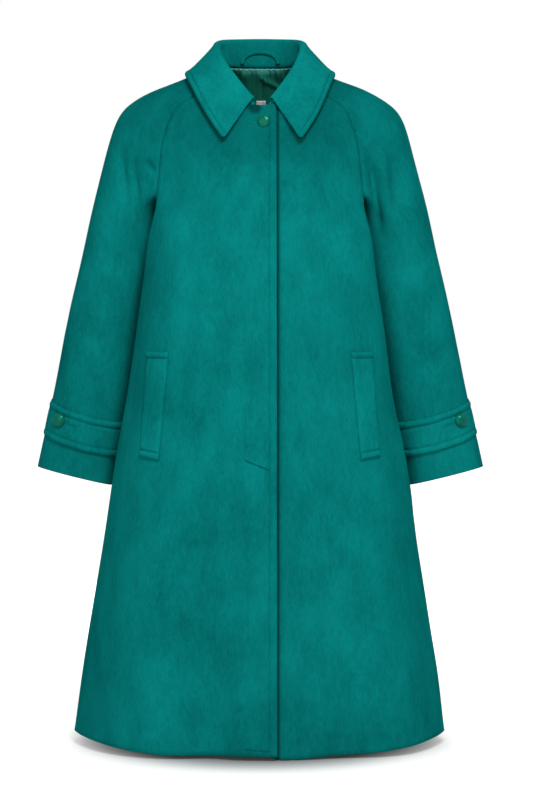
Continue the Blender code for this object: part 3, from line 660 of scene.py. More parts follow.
class BrushedNap(ShaderGroup):
    """Short wool fibres that lie down the cloth in uneven patches."""

    name = "brushed_nap"
    inputs = {"Deep": (0.0, 0.1, 0.1, 1.0), "Raised": (0.0, 0.2, 0.2, 1.0), "Patches": 1.0}
    outputs = {"Colour": "NodeSocketColor", "Roughness": "NodeSocketFloat", "Height": "NodeSocketFloat"}

    def wire(self, pen: NodePen, given: Outputs) -> dict[str, Socket]:
        """Build strands, clumps and brushed patches.

        Args:
            pen: adds the group's nodes.
            given: inputs of the group.

        Returns:
            What feeds each output.
        """
        place = pen.add("ShaderNodeTexCoord").outputs["Object"]
        sway = pen.add("ShaderNodeTexNoise", {"Vector": place, "Scale": 26.0, "Detail": 2.0})
        bent = pen.vector("MULTIPLY_ADD", sway.outputs["Color"], (0.012, 0.012, 0.004), place)
        strands = pen.noise(pen.stretched(bent, (1.0, 1.0, 0.20)), 620.0, 3.0)
        clumps = pen.noise(pen.stretched(bent, (1.0, 1.0, 0.45)), 150.0, 3.0)
        patches = pen.noise(pen.stretched(place, (1.0, 1.0, 0.55)), 24.0, 4.0)
        broad = pen.noise(pen.stretched(place, (1.0, 1.0, 0.7)), 7.0, 2.0)
        fine = pen.ranged(strands, 0.30, 0.70, -0.5, 0.5)
        tuft = pen.ranged(clumps, 0.30, 0.70, -0.5, 0.5)
        patch = pen.ranged(patches, 0.32, 0.68, -0.5, 0.5)
        wide = pen.ranged(broad, 0.35, 0.65, -0.5, 0.5)
        brushed = pen.math("MULTIPLY_ADD", wide, 0.30, pen.math("MULTIPLY", patch, 0.42))
        brushed = pen.math("MULTIPLY", brushed, given["Patches"])
        share = pen.math("MULTIPLY_ADD", fine, 0.34, pen.math("MULTIPLY_ADD", tuft, 0.26, brushed))
        share = pen.math("ADD", share, 0.5)
        height = pen.math("MULTIPLY_ADD", fine, 0.6, pen.math("MULTIPLY_ADD", tuft, 0.5, 0.5))
        return {
            "Colour": pen.mixed(share, given["Deep"], given["Raised"]),
            "Roughness": pen.ranged(strands, 0.3, 0.7, 0.98, 0.84),
            "Height": height,
        }


class Weave(ShaderGroup):
    """Fine crossing threads."""

    name = "weave"
    inputs = {"Warp": (0.0, 0.1, 0.1, 1.0), "Weft": (0.0, 0.2, 0.2, 1.0), "Threads": 1400.0}
    outputs = {"Colour": "NodeSocketColor", "Roughness": "NodeSocketFloat", "Height": "NodeSocketFloat"}

    def wire(self, pen: NodePen, given: Outputs) -> dict[str, Socket]:
        """Build warp and weft.

        Args:
            pen: adds the group's nodes.
            given: inputs of the group.

        Returns:
            What feeds each output.
        """
        place = pen.add("ShaderNodeTexCoord").outputs["Object"]
        parts = pen.add("ShaderNodeSeparateXYZ", {0: place}).outputs
        warp = pen.math("SINE", pen.math("MULTIPLY", parts["X"], given["Threads"]))
        weft = pen.math("SINE", pen.math("MULTIPLY", parts["Z"], given["Threads"]))
        over = pen.ranged(pen.math("MULTIPLY", warp, weft), -1.0, 1.0)
        uneven = pen.noise(pen.stretched(place, (1.0, 1.0, 0.3)), 90.0, 3.0)
        share = pen.math("MULTIPLY_ADD", uneven, 0.5, pen.math("MULTIPLY", over, 0.5))
        return {
            "Colour": pen.mixed(share, given["Warp"], given["Weft"]),
            "Roughness": pen.ranged(uneven, 0.3, 0.7, 0.30, 0.46),
            "Height": share,
        }


class NapShade(ShaderGroup):
    """A soft mask round a place for painted light: painted shade where it darkens wool, a painted highlight
    where it pales the lining.
    """

    name = "nap_shade"
    inputs = {"Middle": (0.0, 0.0, 0.0), "Reach": (0.2, 0.2, 0.2)}
    outputs = {"Mask": "NodeSocketFloat"}

    def wire(self, pen: NodePen, given: Outputs) -> dict[str, Socket]:
        """Build the fading mask.

        Args:
            pen: adds the group's nodes.
            given: inputs of the group.

        Returns:
            What feeds each output.
        """
        place = pen.add("ShaderNodeTexCoord").outputs["Object"]
        away = pen.vector("SUBTRACT", place, given["Middle"])
        length = pen.vector("LENGTH", pen.vector("DIVIDE", away, given["Reach"]))
        patches = pen.noise(place, 38.0, 2.0)
        uneven = pen.math("MULTIPLY_ADD", pen.ranged(patches, 0.3, 0.7, -0.5, 0.5), 0.16, length)
        return {"Mask": pen.ranged(uneven, 0.45, 1.0, 1.0, 0.0, "SMOOTHSTEP")}


class StitchLine(ShaderGroup):
    """A sunk line between two places on the front, whose mask also darkens the colour as painted shade: the
    fly seams and the shadow line beside the lap edge.
    """

    name = "stitch_line"
    inputs = {"Start": (0.0, 0.0, 0.0), "End": (0.0, 0.0, 1.0), "Width": 0.002}
    outputs = {"Mask": "NodeSocketFloat"}

    def wire(self, pen: NodePen, given: Outputs) -> dict[str, Socket]:
        """Build the distance to the line.

        Args:
            pen: adds the group's nodes.
            given: inputs of the group.

        Returns:
            What feeds each output.
        """
        place = pen.stretched(pen.add("ShaderNodeTexCoord").outputs["Object"], (1.0, 0.0, 1.0))
        span = pen.vector("SUBTRACT", given["End"], given["Start"])
        away = pen.vector("SUBTRACT", place, given["Start"])
        part, whole = (pen.vector("DOT_PRODUCT", side, span) for side in (away, span))
        share = pen.add("ShaderNodeClamp", {"Value": pen.math("DIVIDE", part, whole)}).outputs[0]
        foot = pen.add("ShaderNodeVectorMath", {0: span, "Scale": share}, operation="SCALE").outputs[0]
        gap = pen.vector("DISTANCE", away, foot)
        return {"Mask": pen.ranged(gap, 0.0, given["Width"], 1.0, 0.0)}


class Finish:
    """Base of the finishes: each returns its material, made at first use."""

    name: str

    def material(self) -> bpy.types.Material:
        """Return the material, made at first use.

        Returns:
            The material.
        """
        if self.name in bpy.data.materials:
            return bpy.data.materials[self.name]
        material = bpy.data.materials.new(self.name)
        material.use_nodes = True
        shader = material.node_tree.nodes["Principled BSDF"]
        self.dress(NodePen(material.node_tree), shader)
        return material

    def dress(self, pen: NodePen, shader: bpy.types.Node) -> None:
        """Fill in the shader."""
        raise NotImplementedError

    @staticmethod
    def feed(pen: NodePen, shader: bpy.types.Node, outputs: dict | Outputs,
             strength: float, distance: float) -> None:
        """Link colour, roughness and height to the shader.

        Args:
            pen: adds the material's nodes.
            shader: the Principled node.
            outputs: Colour, Roughness and Height.
            strength: of the bump.
            distance: of the bump, in metres.
        """
        inputs = {"Height": outputs["Height"], "Strength": strength, "Distance": distance}
        normal = pen.add("ShaderNodeBump", inputs).outputs[0]
        pen.tree.links.new(outputs["Colour"], shader.inputs["Base Color"])
        pen.tree.links.new(outputs["Roughness"], shader.inputs["Roughness"])
        pen.tree.links.new(normal, shader.inputs["Normal"])


@dataclass(frozen=True)
class WoolFinish(Finish):
    """Brushed wool with a soft sheen on its raised fibres."""

    name: str = "brushed_wool"
    deep: Colour = (0.0010, 0.135, 0.127)
    raised: Colour = (0.0026, 0.262, 0.248)
    patches: float = 0.95
    sheen: float = 0.06
    bump: float = 0.50
    bump_depth: float = 0.0006
    shades: tuple[tuple[Point, Point, float], ...] = ()
    lines: tuple[tuple[Point, Point, float], ...] = ()
    line_width: float = 0.0022
    shade_share: float = 0.30
    sheen_roughness: float = 0.5
    sheen_tint: Colour = (0.0, 0.75, 0.72)
    specular: float = 0.0

    def dress(self, pen: NodePen, shader: bpy.types.Node) -> None:
        """Fill in the shader.

        Args:
            pen: adds the material's nodes.
            shader: the Principled node.
        """
        nap = BrushedNap().place(pen, Deep=(*self.deep, 1.0), Raised=(*self.raised, 1.0),
                                 Patches=self.patches)
        # Painted shade colour: the deep fibres darkened by the shade share.
        dark = (*(self.shade_share * c for c in self.deep), 1.0)
        colour, height = nap["Colour"], nap["Height"]
        # Painted shade: the colour darkened round each given place.
        for middle, reach, depth in self.shades:
            mask = NapShade().place(pen, Middle=middle, Reach=reach)["Mask"]
            colour = pen.mixed(pen.math("MULTIPLY", mask, depth), colour, dark)
        # Sunk lines: a groove in the bump, with the colour darkened there as painted shade.
        for start, end, depth in self.lines:
            mask = StitchLine().place(pen, Start=start, End=end, Width=self.line_width)["Mask"]
            sunk = pen.math("MULTIPLY", mask, depth)
            colour = pen.mixed(sunk, colour, dark)
            height = pen.math("SUBTRACT", height, sunk)
        fed = {"Colour": colour, "Roughness": nap["Roughness"], "Height": height}
        self.feed(pen, shader, fed, self.bump, self.bump_depth)
        shader.inputs["Sheen Weight"].default_value = self.sheen
        shader.inputs["Sheen Roughness"].default_value = self.sheen_roughness
        shader.inputs["Sheen Tint"].default_value = (*self.sheen_tint, 1.0)
        shader.inputs["Specular IOR Level"].default_value = self.specular


@dataclass(frozen=True)
class WovenFinish(Finish):
    """Cloth or thread of fine crossing yarns, with a painted highlight (the colour paled) along a gathered
    band where it has one.
    """

    name: str
    warp: Colour
    weft: Colour
    threads: float
    bump: float
    bump_depth: float = 0.0002
    specular: float = 0.5
    tint: Colour = (1.0, 1.0, 1.0)
    # band and pale give a painted highlight: the colour paled round a place.
    band: tuple[Point, Point, float] | None = None
    pale: Colour = (1.0, 1.0, 1.0)

    def dress(self, pen: NodePen, shader: bpy.types.Node) -> None:
        """Fill in the shader.

        Args:
            pen: adds the material's nodes.
            shader: the Principled node.
        """
        yarn = Weave().place(pen, Warp=(*self.warp, 1.0), Weft=(*self.weft, 1.0), Threads=self.threads)
        fed = {key: yarn[key] for key in ("Colour", "Roughness", "Height")}
        # Painted highlight: the colour paled along the band.
        if self.band:
            middle, reach, depth = self.band
            mask = NapShade().place(pen, Middle=middle, Reach=reach)["Mask"]
            fed["Colour"] = pen.mixed(pen.math("MULTIPLY", mask, depth), yarn["Colour"], (*self.pale, 1.0))
        self.feed(pen, shader, fed, self.bump, self.bump_depth)
        shader.inputs["Specular IOR Level"].default_value = self.specular
        shader.inputs["Specular Tint"].default_value = (*self.tint, 1.0)


@dataclass(frozen=True)
class ButtonFinish(Finish):
    """Glossy dyed button with faint clouds."""

    name: str = "button_resin"
    deep: Colour = (0.0008, 0.120, 0.074)
    pale: Colour = (0.0020, 0.175, 0.116)
    polish: Pair = (0.07, 0.16)
    specular: float = 0.32
    tint: Colour = (0.25, 1.0, 0.85)

    def dress(self, pen: NodePen, shader: bpy.types.Node) -> None:
        """Fill in the shader.

        Args:
            pen: adds the material's nodes.
            shader: the Principled node.
        """
        place = pen.add("ShaderNodeTexCoord").outputs["Object"]
        clouds = pen.noise(place, 180.0, 4.0)
        scuffs = pen.noise(pen.stretched(place, (1.0, 1.0, 6.0)), 420.0, 3.0)
        share = pen.ranged(clouds, 0.35, 0.65)
        colour = pen.mixed(share, (*self.deep, 1.0), (*self.pale, 1.0))
        pen.tree.links.new(colour, shader.inputs["Base Color"])
        pen.tree.links.new(pen.ranged(scuffs, 0.35, 0.7, *self.polish), shader.inputs["Roughness"])
        shader.inputs["Specular IOR Level"].default_value = self.specular
        shader.inputs["Specular Tint"].default_value = (*self.tint, 1.0)


@dataclass(frozen=True)
class FloorFinish(Finish):
    """Pale studio floor with a painted drop shadow round the hem."""

    name: str = "pale_floor"
    greys: Pair = (0.80, 0.83)
    shadow_grey: float = 0.36
    ellipse: Point = (4.15, 3.75, 0.0)
    shadow: Pair = (0.84, 1.20)
    near_glow: tuple[float, float, float, float] = (0.85, 1.50, 0.03, 0.62)
    far_glow: tuple[float, float, float, float] = (1.9, 6.0, 0.0, 0.38)
    roughness: float = 0.9
    specular: float = 0.1

    def dress(self, pen: NodePen, shader: bpy.types.Node) -> None:
        """Fill in the shader.

        Args:
            pen: adds the material's nodes.
            shader: the Principled node.
        """
        place = pen.add("ShaderNodeTexCoord").outputs["Object"]
        share = pen.noise(place, 3.0, 2.0)
        dark, pale, shadow = ((g, g, g, 1.0) for g in (*self.greys, self.shadow_grey))
        # Painted drop shadow: inside an ellipse round the hem the colour turns to the shadow grey and the
        # glow seen by the camera drops.
        reach = pen.vector("LENGTH", pen.stretched(place, self.ellipse))
        colour = pen.mixed(pen.ranged(reach, *self.shadow), shadow, pen.mixed(share, dark, pale))
        near = pen.ranged(reach, *self.near_glow, "SMOOTHSTEP")
        white = pen.math("ADD", near, pen.ranged(reach, *self.far_glow))
        pen.tree.links.new(colour, shader.inputs["Base Color"])
        seen = pen.add("ShaderNodeLightPath").outputs["Is Camera Ray"]
        glow = pen.mixed(seen, (0.0, 0.0, 0.0, 1.0), white)
        pen.tree.links.new(glow, shader.inputs["Emission Color"])
        shader.inputs["Emission Strength"].default_value = 1.0
        shader.inputs["Roughness"].default_value = self.roughness
        shader.inputs["Specular IOR Level"].default_value = self.specular


# Fly seam lines. In the wool they are sunk in the bump and darkened as painted shade in the groove.
FLY_LINES = (
    ((-0.0229, 0.0, -0.5850), (-0.0229, 0.0, -0.6530), 0.16),
    ((-0.0229, 0.0, -0.6530), (0.0149, 0.0, -0.6680), 0.55),
    ((-0.0212, 0.0, -1.0993), (0.0161, 0.0, -1.1024), 0.55),
)
# Painted shadow: a dark sunk line on the under front beside the lap edge.
LAP_SHADOW_LINE = ((LAP_HALF + 0.0008, 0.0, -0.085), (LAP_HALF + 0.0008, 0.0, -1.125), 1.0)
# Painted shade: darker wool under the collar, at the throat beside the collar's end and inside the collar's
# stand.
UPPER_SHADE = ((0.004, -0.070, -0.072), (0.290, 0.220, 0.180), 0.36)
THROAT_SHADE = ((-0.0086, -0.088, -0.0866), (0.015, 0.050, 0.017), 0.85)
STAND_SHADE = ((0.0, 0.062, 0.012), (0.090, 0.034, 0.060), 0.32)
WOOL = WoolFinish(shades=(UPPER_SHADE,))
OVER_WOOL = WoolFinish(name="over_front_wool", shades=(UPPER_SHADE, THROAT_SHADE), lines=FLY_LINES)
UNDER_WOOL = WoolFinish(name="under_front_wool", shades=(UPPER_SHADE,), lines=(LAP_SHADOW_LINE,), line_width=0.0048)
# Trim wool: a paler copy of the body wool, painted light on the collar, welts, straps, loop and buttonhole
# cords, with painted shade inside the collar's stand.
PAINTED_LIGHT_TRIM_WOOL = WoolFinish(name="trim_wool", deep=(0.0011, 0.147, 0.138), raised=(0.0029, 0.284, 0.269),
                       shades=(STAND_SHADE,))
# Painted highlight along the lining's gathered top.
GATHER_HIGHLIGHT = ((0.0, 0.066, 0.003), (0.120, 0.080, 0.0160), 0.88)
SATIN = WovenFinish("lining_satin", (0.0070, 0.115, 0.078), (0.0130, 0.215, 0.150), 5200.0, 0.15,
                    specular=0.6, tint=(0.35, 0.95, 0.80), band=GATHER_HIGHLIGHT, pale=(0.095, 0.520, 0.450))
# Thread darker than the cloth: partly its own colour, partly painted shade of the stitch grooves.
THREAD = WovenFinish("sewing_thread", (0.0004, 0.048, 0.045), (0.0008, 0.092, 0.086), 9000.0, 0.3,
                     specular=0.0)
LABEL = WovenFinish("label_cloth", (0.62, 0.63, 0.61), (0.84, 0.84, 0.82), 5200.0, 0.3, 0.0003)
RESIN = ButtonFinish()


def show_piece(name: str, points: Array, faces: Array, finish: Finish, slot: Slot, *nodes: str) -> None:
    """Add one shown piece that rides on the coat.

    Args:
        name: the piece's name.
        points: its points.
        faces: its faces.
        finish: what it is dressed in.
        slot: not used.
        *nodes: the frame's nodes that it stands for.
    """
    mesh = bpy.data.meshes.new(name)
    mesh.from_pydata(np.asarray(points).tolist(), [], [list(map(int, f)) for f in faces])
    mesh.update()
    mesh.shade_smooth()
    mesh.materials.append(finish.material())
    piece = bpy.data.objects.new(name, mesh)
    bpy.context.scene.collection.objects.link(piece)
    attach(piece, "root")
    if nodes:
        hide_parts(*nodes)
    LOG.info("%s: %d faces", name, len(mesh.polygons))


def sew_on(name: str, side: Side, grid: Array, thick: Array) -> tuple[Array, Array, Array]:
    """Add a trim that lies on the coat.

    Args:
        name: the frame's node that it stands for.
        side: the side of the coat that it is on.
        grid: points on the coat under it.
        thick: its wall at each point.

    Returns:
        Its outer points, the normals there and its cells.
    """
    if side is Side.RIGHT:
        grid, thick = grid[:, ::-1], thick[:, ::-1]
    face = Surface.of_grid(grid)
    points, faces = wall(face, face.cells, TRIM_LIFT + thick.ravel(), TRIM_LIFT, TRIM_ROUND, 0.0)
    show_piece(f"{name}_cloth", points, faces, PAINTED_LIGHT_TRIM_WOOL, Slot.WOOL, name)
    normals = face.normals.reshape(grid.shape)
    return grid + normals * (TRIM_LIFT + thick)[..., None], normals, face.cells


@dataclass
class CoatForm:
    """The smooth outer face of the whole coat, from its rings."""

    points: list = field(default_factory=list)
    cells: list = field(default_factory=list)
    marks: list = field(default_factory=list)

    def add(self, points: Array) -> list[int]:
        """Add points and return their numbers."""
        self.points.extend(np.asarray(points))
        return list(range(len(self.points) - len(points), len(self.points)))

    def strip(self, upper: list[int], lower: list[int], marks: list[str], closed: bool = False) -> None:
        """Join two rings of points by cells.

        Args:
            upper: point numbers.
            lower: as many.
            marks: panel of each cell.
            closed: joins the ends.
        """
        for j in range(len(upper) if closed else len(upper) - 1):
            k = (j + 1) % len(upper)
            self.cells.append((upper[j], lower[j], lower[k], upper[k]))
            self.marks.append(marks[j])

    @staticmethod
    def from_lap(curve: Array) -> Array:
        """Split a front curve into the middle, the lap edge and three even steps to its end.

        Args:
            curve: from the front middle on.

        Returns:
            Five points.
        """
        lap = np.array([LAP_HALF, *[np.interp(LAP_HALF, curve[:, 0], curve[:, i]) for i in (1, 2)]])
        rest = np.vstack([lap[None], curve[curve[:, 0] > LAP_HALF]])
        return np.vstack([curve[:1], along(rest, (0.0, 1 / 3, 2 / 3, 1.0))])

    @staticmethod
    def bowed(start: Array, end: Array, bow: float, middle: Array) -> Array:
        """Return a point half way between two, moved out from the middle by the bow.

        Args:
            start: a point.
            end: a point.
            bow: distance.
            middle: of the body.

        Returns:
            The point.
        """
        half = (start + end) / 2.0
        chord = unit(end - start)
        out = half - middle
        return half + unit(out - chord * np.dot(out, chord)) * bow

    def yoke_ring(self, row: YokeRing) -> Array:
        """Return one yoke ring from the front middle over +X to the back middle.

        Args:
            row: the ring's measures.

        Returns:
            Its points.
        """
        front = np.array([0.0, *row.front])
        back = np.array([0.0, *row.back])
        seam_front, seam_back = np.array(row.raglan_front), np.array(row.raglan_back)
        top = np.array(row.shoulder)
        inside = (seam_front + seam_back) / 2.0
        knots = [
            front,
            front + (seam_front - front) * row.share - np.array([0.0, row.bow_front, row.dip]),
            seam_front,
            self.bowed(seam_front, top, row.bow_cap_front, inside),
            top,
            self.bowed(top, seam_back, row.bow_cap_back, inside),
            seam_back,
            back + (seam_back - back) * row.share + np.array([0.0, row.bow_back, 0.0]),
            back,
        ]
        knots += [knot * np.array([-1.0, 1.0, 1.0]) for knot in knots[-2:0:-1]]
        fine = 24
        curve = spline(knots, fine, closed=True)
        thirds = (1 / 3, 2 / 3, 1.0)
        spans = [along(curve[i * fine:(i + 2) * fine + 1], thirds) for i in (2, 4, 6)]
        return np.vstack([self.from_lap(curve[:2 * fine + 1]), *spans])

    @staticmethod
    def corner_arc(row: BodyRing, middle_y: float, corner_x: float, corner_y: float) -> Array:
        """Return the rounded quarter from a middle plane to a side corner of the body.

        Args:
            row: the ring's measures.
            middle_y: at the middle plane.
            corner_x: at the side.
            corner_y: at the side.

        Returns:
            Points of the arc.
        """
        turn = np.linspace(0.0, math.pi / 2.0, 40)
        x = corner_x * np.sin(turn) ** (2.0 / row.round)
        y = corner_y + (middle_y - corner_y) * np.cos(turn) ** (2.0 / row.round)
        return np.stack([x, y, np.full_like(x, row.z)], axis=1)

    def body_ring(self, row: BodyRing) -> Array:
        """Return one body ring from the front middle over +X to the back middle.

        Args:
            row: the ring's measures.

        Returns:
            Its points.
        """
        front = self.from_lap(self.corner_arc(row, row.front_y, row.side_x, row.side_y))
        t = np.array([0.25, 0.5, 0.75])
        x = row.side_x + (row.rear_x - row.side_x) * t - row.hollow * np.sin(math.pi * t) ** 2
        side = np.stack([x, row.side_y + (row.rear_y - row.side_y) * t, np.full(3, row.z)], axis=1)
        rear = self.corner_arc(row, row.back_y, row.rear_x, row.rear_y)[::-1]
        ring = np.vstack([front, side, along(rear, (0.0, 1 / 3, 2 / 3, 1.0))])
        start, span = HEM_LIFT_SPAN
        ring[:, 2] += row.lift * smooth_step((ring[:, 0] / row.side_x - start) / span)
        return ring

    @staticmethod
    def sleeve_axes(row: SleeveRing) -> tuple[Array, Array, Array]:
        """Return the middle, the outward and the forward direction of a sleeve ring.

        Args:
            row: the ring's measures.

        Returns:
            A point and two unit vectors.
        """
        lean = math.radians(row.tilt)
        out = np.array([math.cos(lean), 0.0, math.sin(lean)])
        middle = np.array([row.outer_x, row.middle_y, row.outer_z]) - out * row.width / 2.0
        return middle, out, np.array([0.0, -1.0, 0.0])

    def sleeve_ring(self, row: SleeveRing) -> Array:
        """Return one sleeve ring from the raglan front line over the outside and round.

        Args:
            row: the ring's measures.

        Returns:
            Its points.
        """
        middle, out, ahead = self.sleeve_axes(row)
        turn = np.radians(SLEEVE_BEARINGS)
        return (middle + np.outer(np.cos(turn), out) * row.width / 2.0
                + np.outer(np.sin(turn), ahead) * row.depth / 2.0)

    def lay_out(self) -> list[int]:
        """Lay out the rings on the +X side and join them.

        Returns:
            The underarm points.
        """
        yoke_marks = ["lap"] + ["front"] * 3 + ["sleeve_front"] * 3 + ["sleeve_back"] * 3 + ["back"] * 3
        body_marks = ["lap"] + ["front"] * 5 + ["back"] * 5
        sleeve_marks = ["sleeve_front"] * 3 + ["sleeve_back"] * 5 + ["sleeve_front"] * 2
        rings = [self.add(self.yoke_ring(row)) for row in YOKE]
        for upper, lower in zip(rings, rings[1:]):
            self.strip(upper, lower, yoke_marks)
        last = rings[-1]
        fold = spline([self.points[last[4]], UNDERARM, self.points[last[10]]], 2)
        under = self.add(fold[1:4])
        upper = last[:5] + under + last[10:]
        for row in BODY:
            lower = self.add(self.body_ring(row))
            self.strip(upper, lower, body_marks)
            upper = lower
        upper = last[4:11] + under[::-1]
        for row in SLEEVE:
            lower = self.add(self.sleeve_ring(row))
            self.strip(upper, lower, sleeve_marks, closed=True)
            upper = lower
        return under

    @staticmethod
    def panel_name(mark: str, side: Side) -> str:
        """Return the panel name on one side.

        Args:
            mark: the panel on the +X side.
            side: the side it is on.

        Returns:
            The name.
        """
        if mark == "back":
            return mark
        if mark.startswith("sleeve"):
            return mark.replace("sleeve", f"sleeve_{side.label}")
        return f"{mark}_{side.label}"

    def mirrored(self) -> tuple[Array, list, list[str], list[int]]:
        """Mirror the +X side.

        Returns:
            Points, cells, panel names and the points that the cloth only nears.
        """
        loose = self.lay_out()
        points = [np.array(p) for p in self.points]
        partner = {}
        for i, p in enumerate(self.points):
            partner[i] = i if abs(p[0]) < 1e-9 else len(points)
            if partner[i] != i:
                points.append(p * np.array([-1.0, 1.0, 1.0]))
        cells = self.cells + [tuple(partner[i] for i in reversed(cell)) for cell in self.cells]
        names = [self.panel_name(mark, side) for side in Side for mark in self.marks]
        return np.array(points), cells, names, loose + [partner[i] for i in loose]

    def surface(self) -> Surface:
        """Smooth the cells so that they pass through the points, all but the loose ones.

        Returns:
            The surface.
        """
        points, cells, names, loose = self.mirrored()
        kinds = sorted(set(names))
        mesh = bpy.data.meshes.new("coat_form")
        mesh.from_pydata(points.tolist(), [], cells)
        for kind in kinds:
            mesh.materials.append(bpy.data.materials.new(kind))
        mesh.polygons.foreach_set("material_index", [kinds.index(n) for n in names])
        form = bpy.data.objects.new("coat_form", mesh)
        bpy.context.scene.collection.objects.link(form)
        modifier = form.modifiers.new("smooth", "SUBSURF")
        modifier.levels = modifier.render_levels = COARSE_LEVEL
        moved = points.copy()
        for step in range(FIT_ROUNDS + 1):
            if step == FIT_ROUNDS:
                modifier.levels = modifier.render_levels = FINE_LEVEL
            mesh.vertices.foreach_set("co", moved.ravel())
            mesh.update()
            bpy.context.view_layer.update()
            shaped = form.evaluated_get(bpy.context.evaluated_depsgraph_get()).to_mesh()
            place = np.empty(len(shaped.vertices) * 3)
            shaped.vertices.foreach_get("co", place)
            place = place.reshape(-1, 3)
            miss = points - place[:len(points)]
            miss[loose] = 0.0
            moved += miss
        corners = np.empty(len(shaped.loops), dtype=np.int32)
        shaped.loops.foreach_get("vertex_index", corners)
        kind = np.empty(len(shaped.polygons), dtype=np.int32)
        shaped.polygons.foreach_get("material_index", kind)
        bpy.data.objects.remove(form, do_unlink=True)
        for name in kinds:
            bpy.data.materials.remove(bpy.data.materials[name])
        return Surface(place, corners.reshape(-1, 4), np.array(kinds)[kind])


@dataclass
class Drape:
    """Large flutes, listed creases, soft unevenness and seam lines of the whole coat."""

    flutes: tuple[Flute, ...] = FLUTES
    creases: tuple[Crease, ...] = CREASES
    strength: float = 1.5
    seam_depth: float = 0.0015
    seam_width: float = 0.0026
    ease: float = 0.0007
    waves: int = 14
    wave_lengths: Pair = (0.07, 0.24)
    wave_seed: int = 7
    path_steps: int = 60
    welt_share: float = 0.35
    welt_place: float = 2.6

    def fold(self, surface: Surface) -> None:
        """Lay flutes, unevenness and creases in the surface.

        Args:
            surface: the coat, moved in place.
        """
        self.open_flutes(surface)
        surface.push(self.uneven(surface.points))
        for crease in self.creases:
            surface.push(self.creased(surface, crease))

    def sew(self, surface: Surface) -> None:
        """Press the seam lines into the surface."""
        surface.push(self.seamed(surface))

    def open_flutes(self, surface: Surface) -> None:
        """Open the soft flutes in the lower part of the coat.

        Args:
            surface: the coat, moved in place.
        """
        body = self.on_body(surface)
        x, y, z = surface.points.T
        bearing = np.degrees(np.arctan2(x, -y))
        move = np.zeros(len(x))
        for row in self.flutes:
            away = (bearing - row.bearing + 180.0) % 360.0 - 180.0
            grow = smooth_step((row.top - z) / (row.top - BODY[-1].z))
            move += row.depth * bell(away / row.spread) * grow
        level = unit(surface.normals * np.array([1.0, 1.0, 0.0]))
        surface.points = surface.points + level * (move * body)[:, None]
        surface.refresh()

    @staticmethod
    def on_body(surface: Surface) -> Array:
        """Return which points lie on the fronts and the back."""
        cells = surface.part("front_left", "front_right", "lap_left", "lap_right", "back")
        return np.isin(np.arange(len(surface.points)), cells)

    def uneven(self, points: Array) -> Array:
        """Add up slow waves of hanging cloth.

        Args:
            points: of the coat.

        Returns:
            The rise of each.
        """
        move = np.zeros(len(points))
        rng = np.random.default_rng(self.wave_seed)
        for _ in range(self.waves):
            length = rng.uniform(*self.wave_lengths)
            heading = unit(rng.normal(size=3) * np.array([1.0, 1.0, 0.45]))
            move += np.sin(points @ heading * 2.0 * math.pi / length + rng.uniform(0.0, 6.28))
        return move * self.ease / 3.0

    def creased(self, surface: Surface, crease: Crease) -> Array:
        """Return how far a crease moves each point.

        Args:
            surface: the coat.
            crease: the fold to lay.

        Returns:
            Move of each point along its normal.
        """
        path = along(spline(crease.path, 12), np.linspace(0.0, 1.0, self.path_steps))
        look = np.array(crease.facing.value)
        body = self.on_body(surface)
        open_to = (surface.normals @ look < 0.1) & (body != crease.on_sleeve)
        seen = surface.points[:, [0, 2]]
        near = open_to & (np.abs(seen - path.mean(axis=0)).max(axis=1)
                          < np.ptp(path, axis=0).max() + 3.0 * crease.width)
        gap = np.linalg.norm(seen[near, None] - path[None], axis=2)
        nearest = gap.argmin(axis=1)
        share = np.clip(nearest / (self.path_steps - 1.0), 0.03, 0.97)
        taper = np.sin(math.pi * share) ** 0.7
        move = np.zeros(len(surface.points))
        move[near] = self.strength * crease.depth * bell(gap.min(axis=1) / crease.width) * taper
        return move

    def seamed(self, surface: Surface) -> Array:
        """Return the shallow valley along each seam, with a low welt beside it.

        Args:
            surface: the coat.

        Returns:
            Move of each point along its normal.
        """
        names = np.char.replace(surface.names.astype(str), "lap_", "front_")
        kinds, code = np.unique(names, return_inverse=True)
        lowest = np.full(len(surface.points), len(kinds))
        highest = np.full(len(surface.points), -1)
        for corner in range(4):
            np.minimum.at(lowest, surface.cells[:, corner], code)
            np.maximum.at(highest, surface.cells[:, corner], code)
        at_seam = (lowest != highest) & (np.abs(surface.points[:, 0]) > LAP_HALF / 2.0)
        seam = surface.points[at_seam]
        tree = KDTree(len(seam))
        for i, point in enumerate(seam):
            tree.insert(point, i)
        tree.balance()
        gap = np.array([tree.find(point)[2] for point in surface.points])
        welt = self.welt_share * bell((gap - self.welt_place * self.seam_width) / self.seam_width)
        return self.seam_depth * (welt - bell(gap / self.seam_width))


@dataclass(frozen=True)
class SewnEdge:
    """A stitched edge: a crown up to the stitches, a groove along them and a rounded rim."""

    stitch: float
    crown: float
    groove: float
    groove_width: float
    rim: float
    rim_reach: float
    fullness: float = 1.0

    def swell(self, inside: Array) -> Array:
        """Return the crown less the groove at distances inside the edge."""
        crown = self.crown * np.sin(math.pi * np.clip(inside / self.stitch, 0.0, 1.0)) ** self.fullness
        return crown - self.groove * bell((inside - self.stitch) / self.groove_width)

    def rounded(self, inside: Array) -> Array:
        """Return what the rounded rim takes off at distances inside the edge."""
        return self.rim * (1.0 - smooth_step(inside / self.rim_reach))


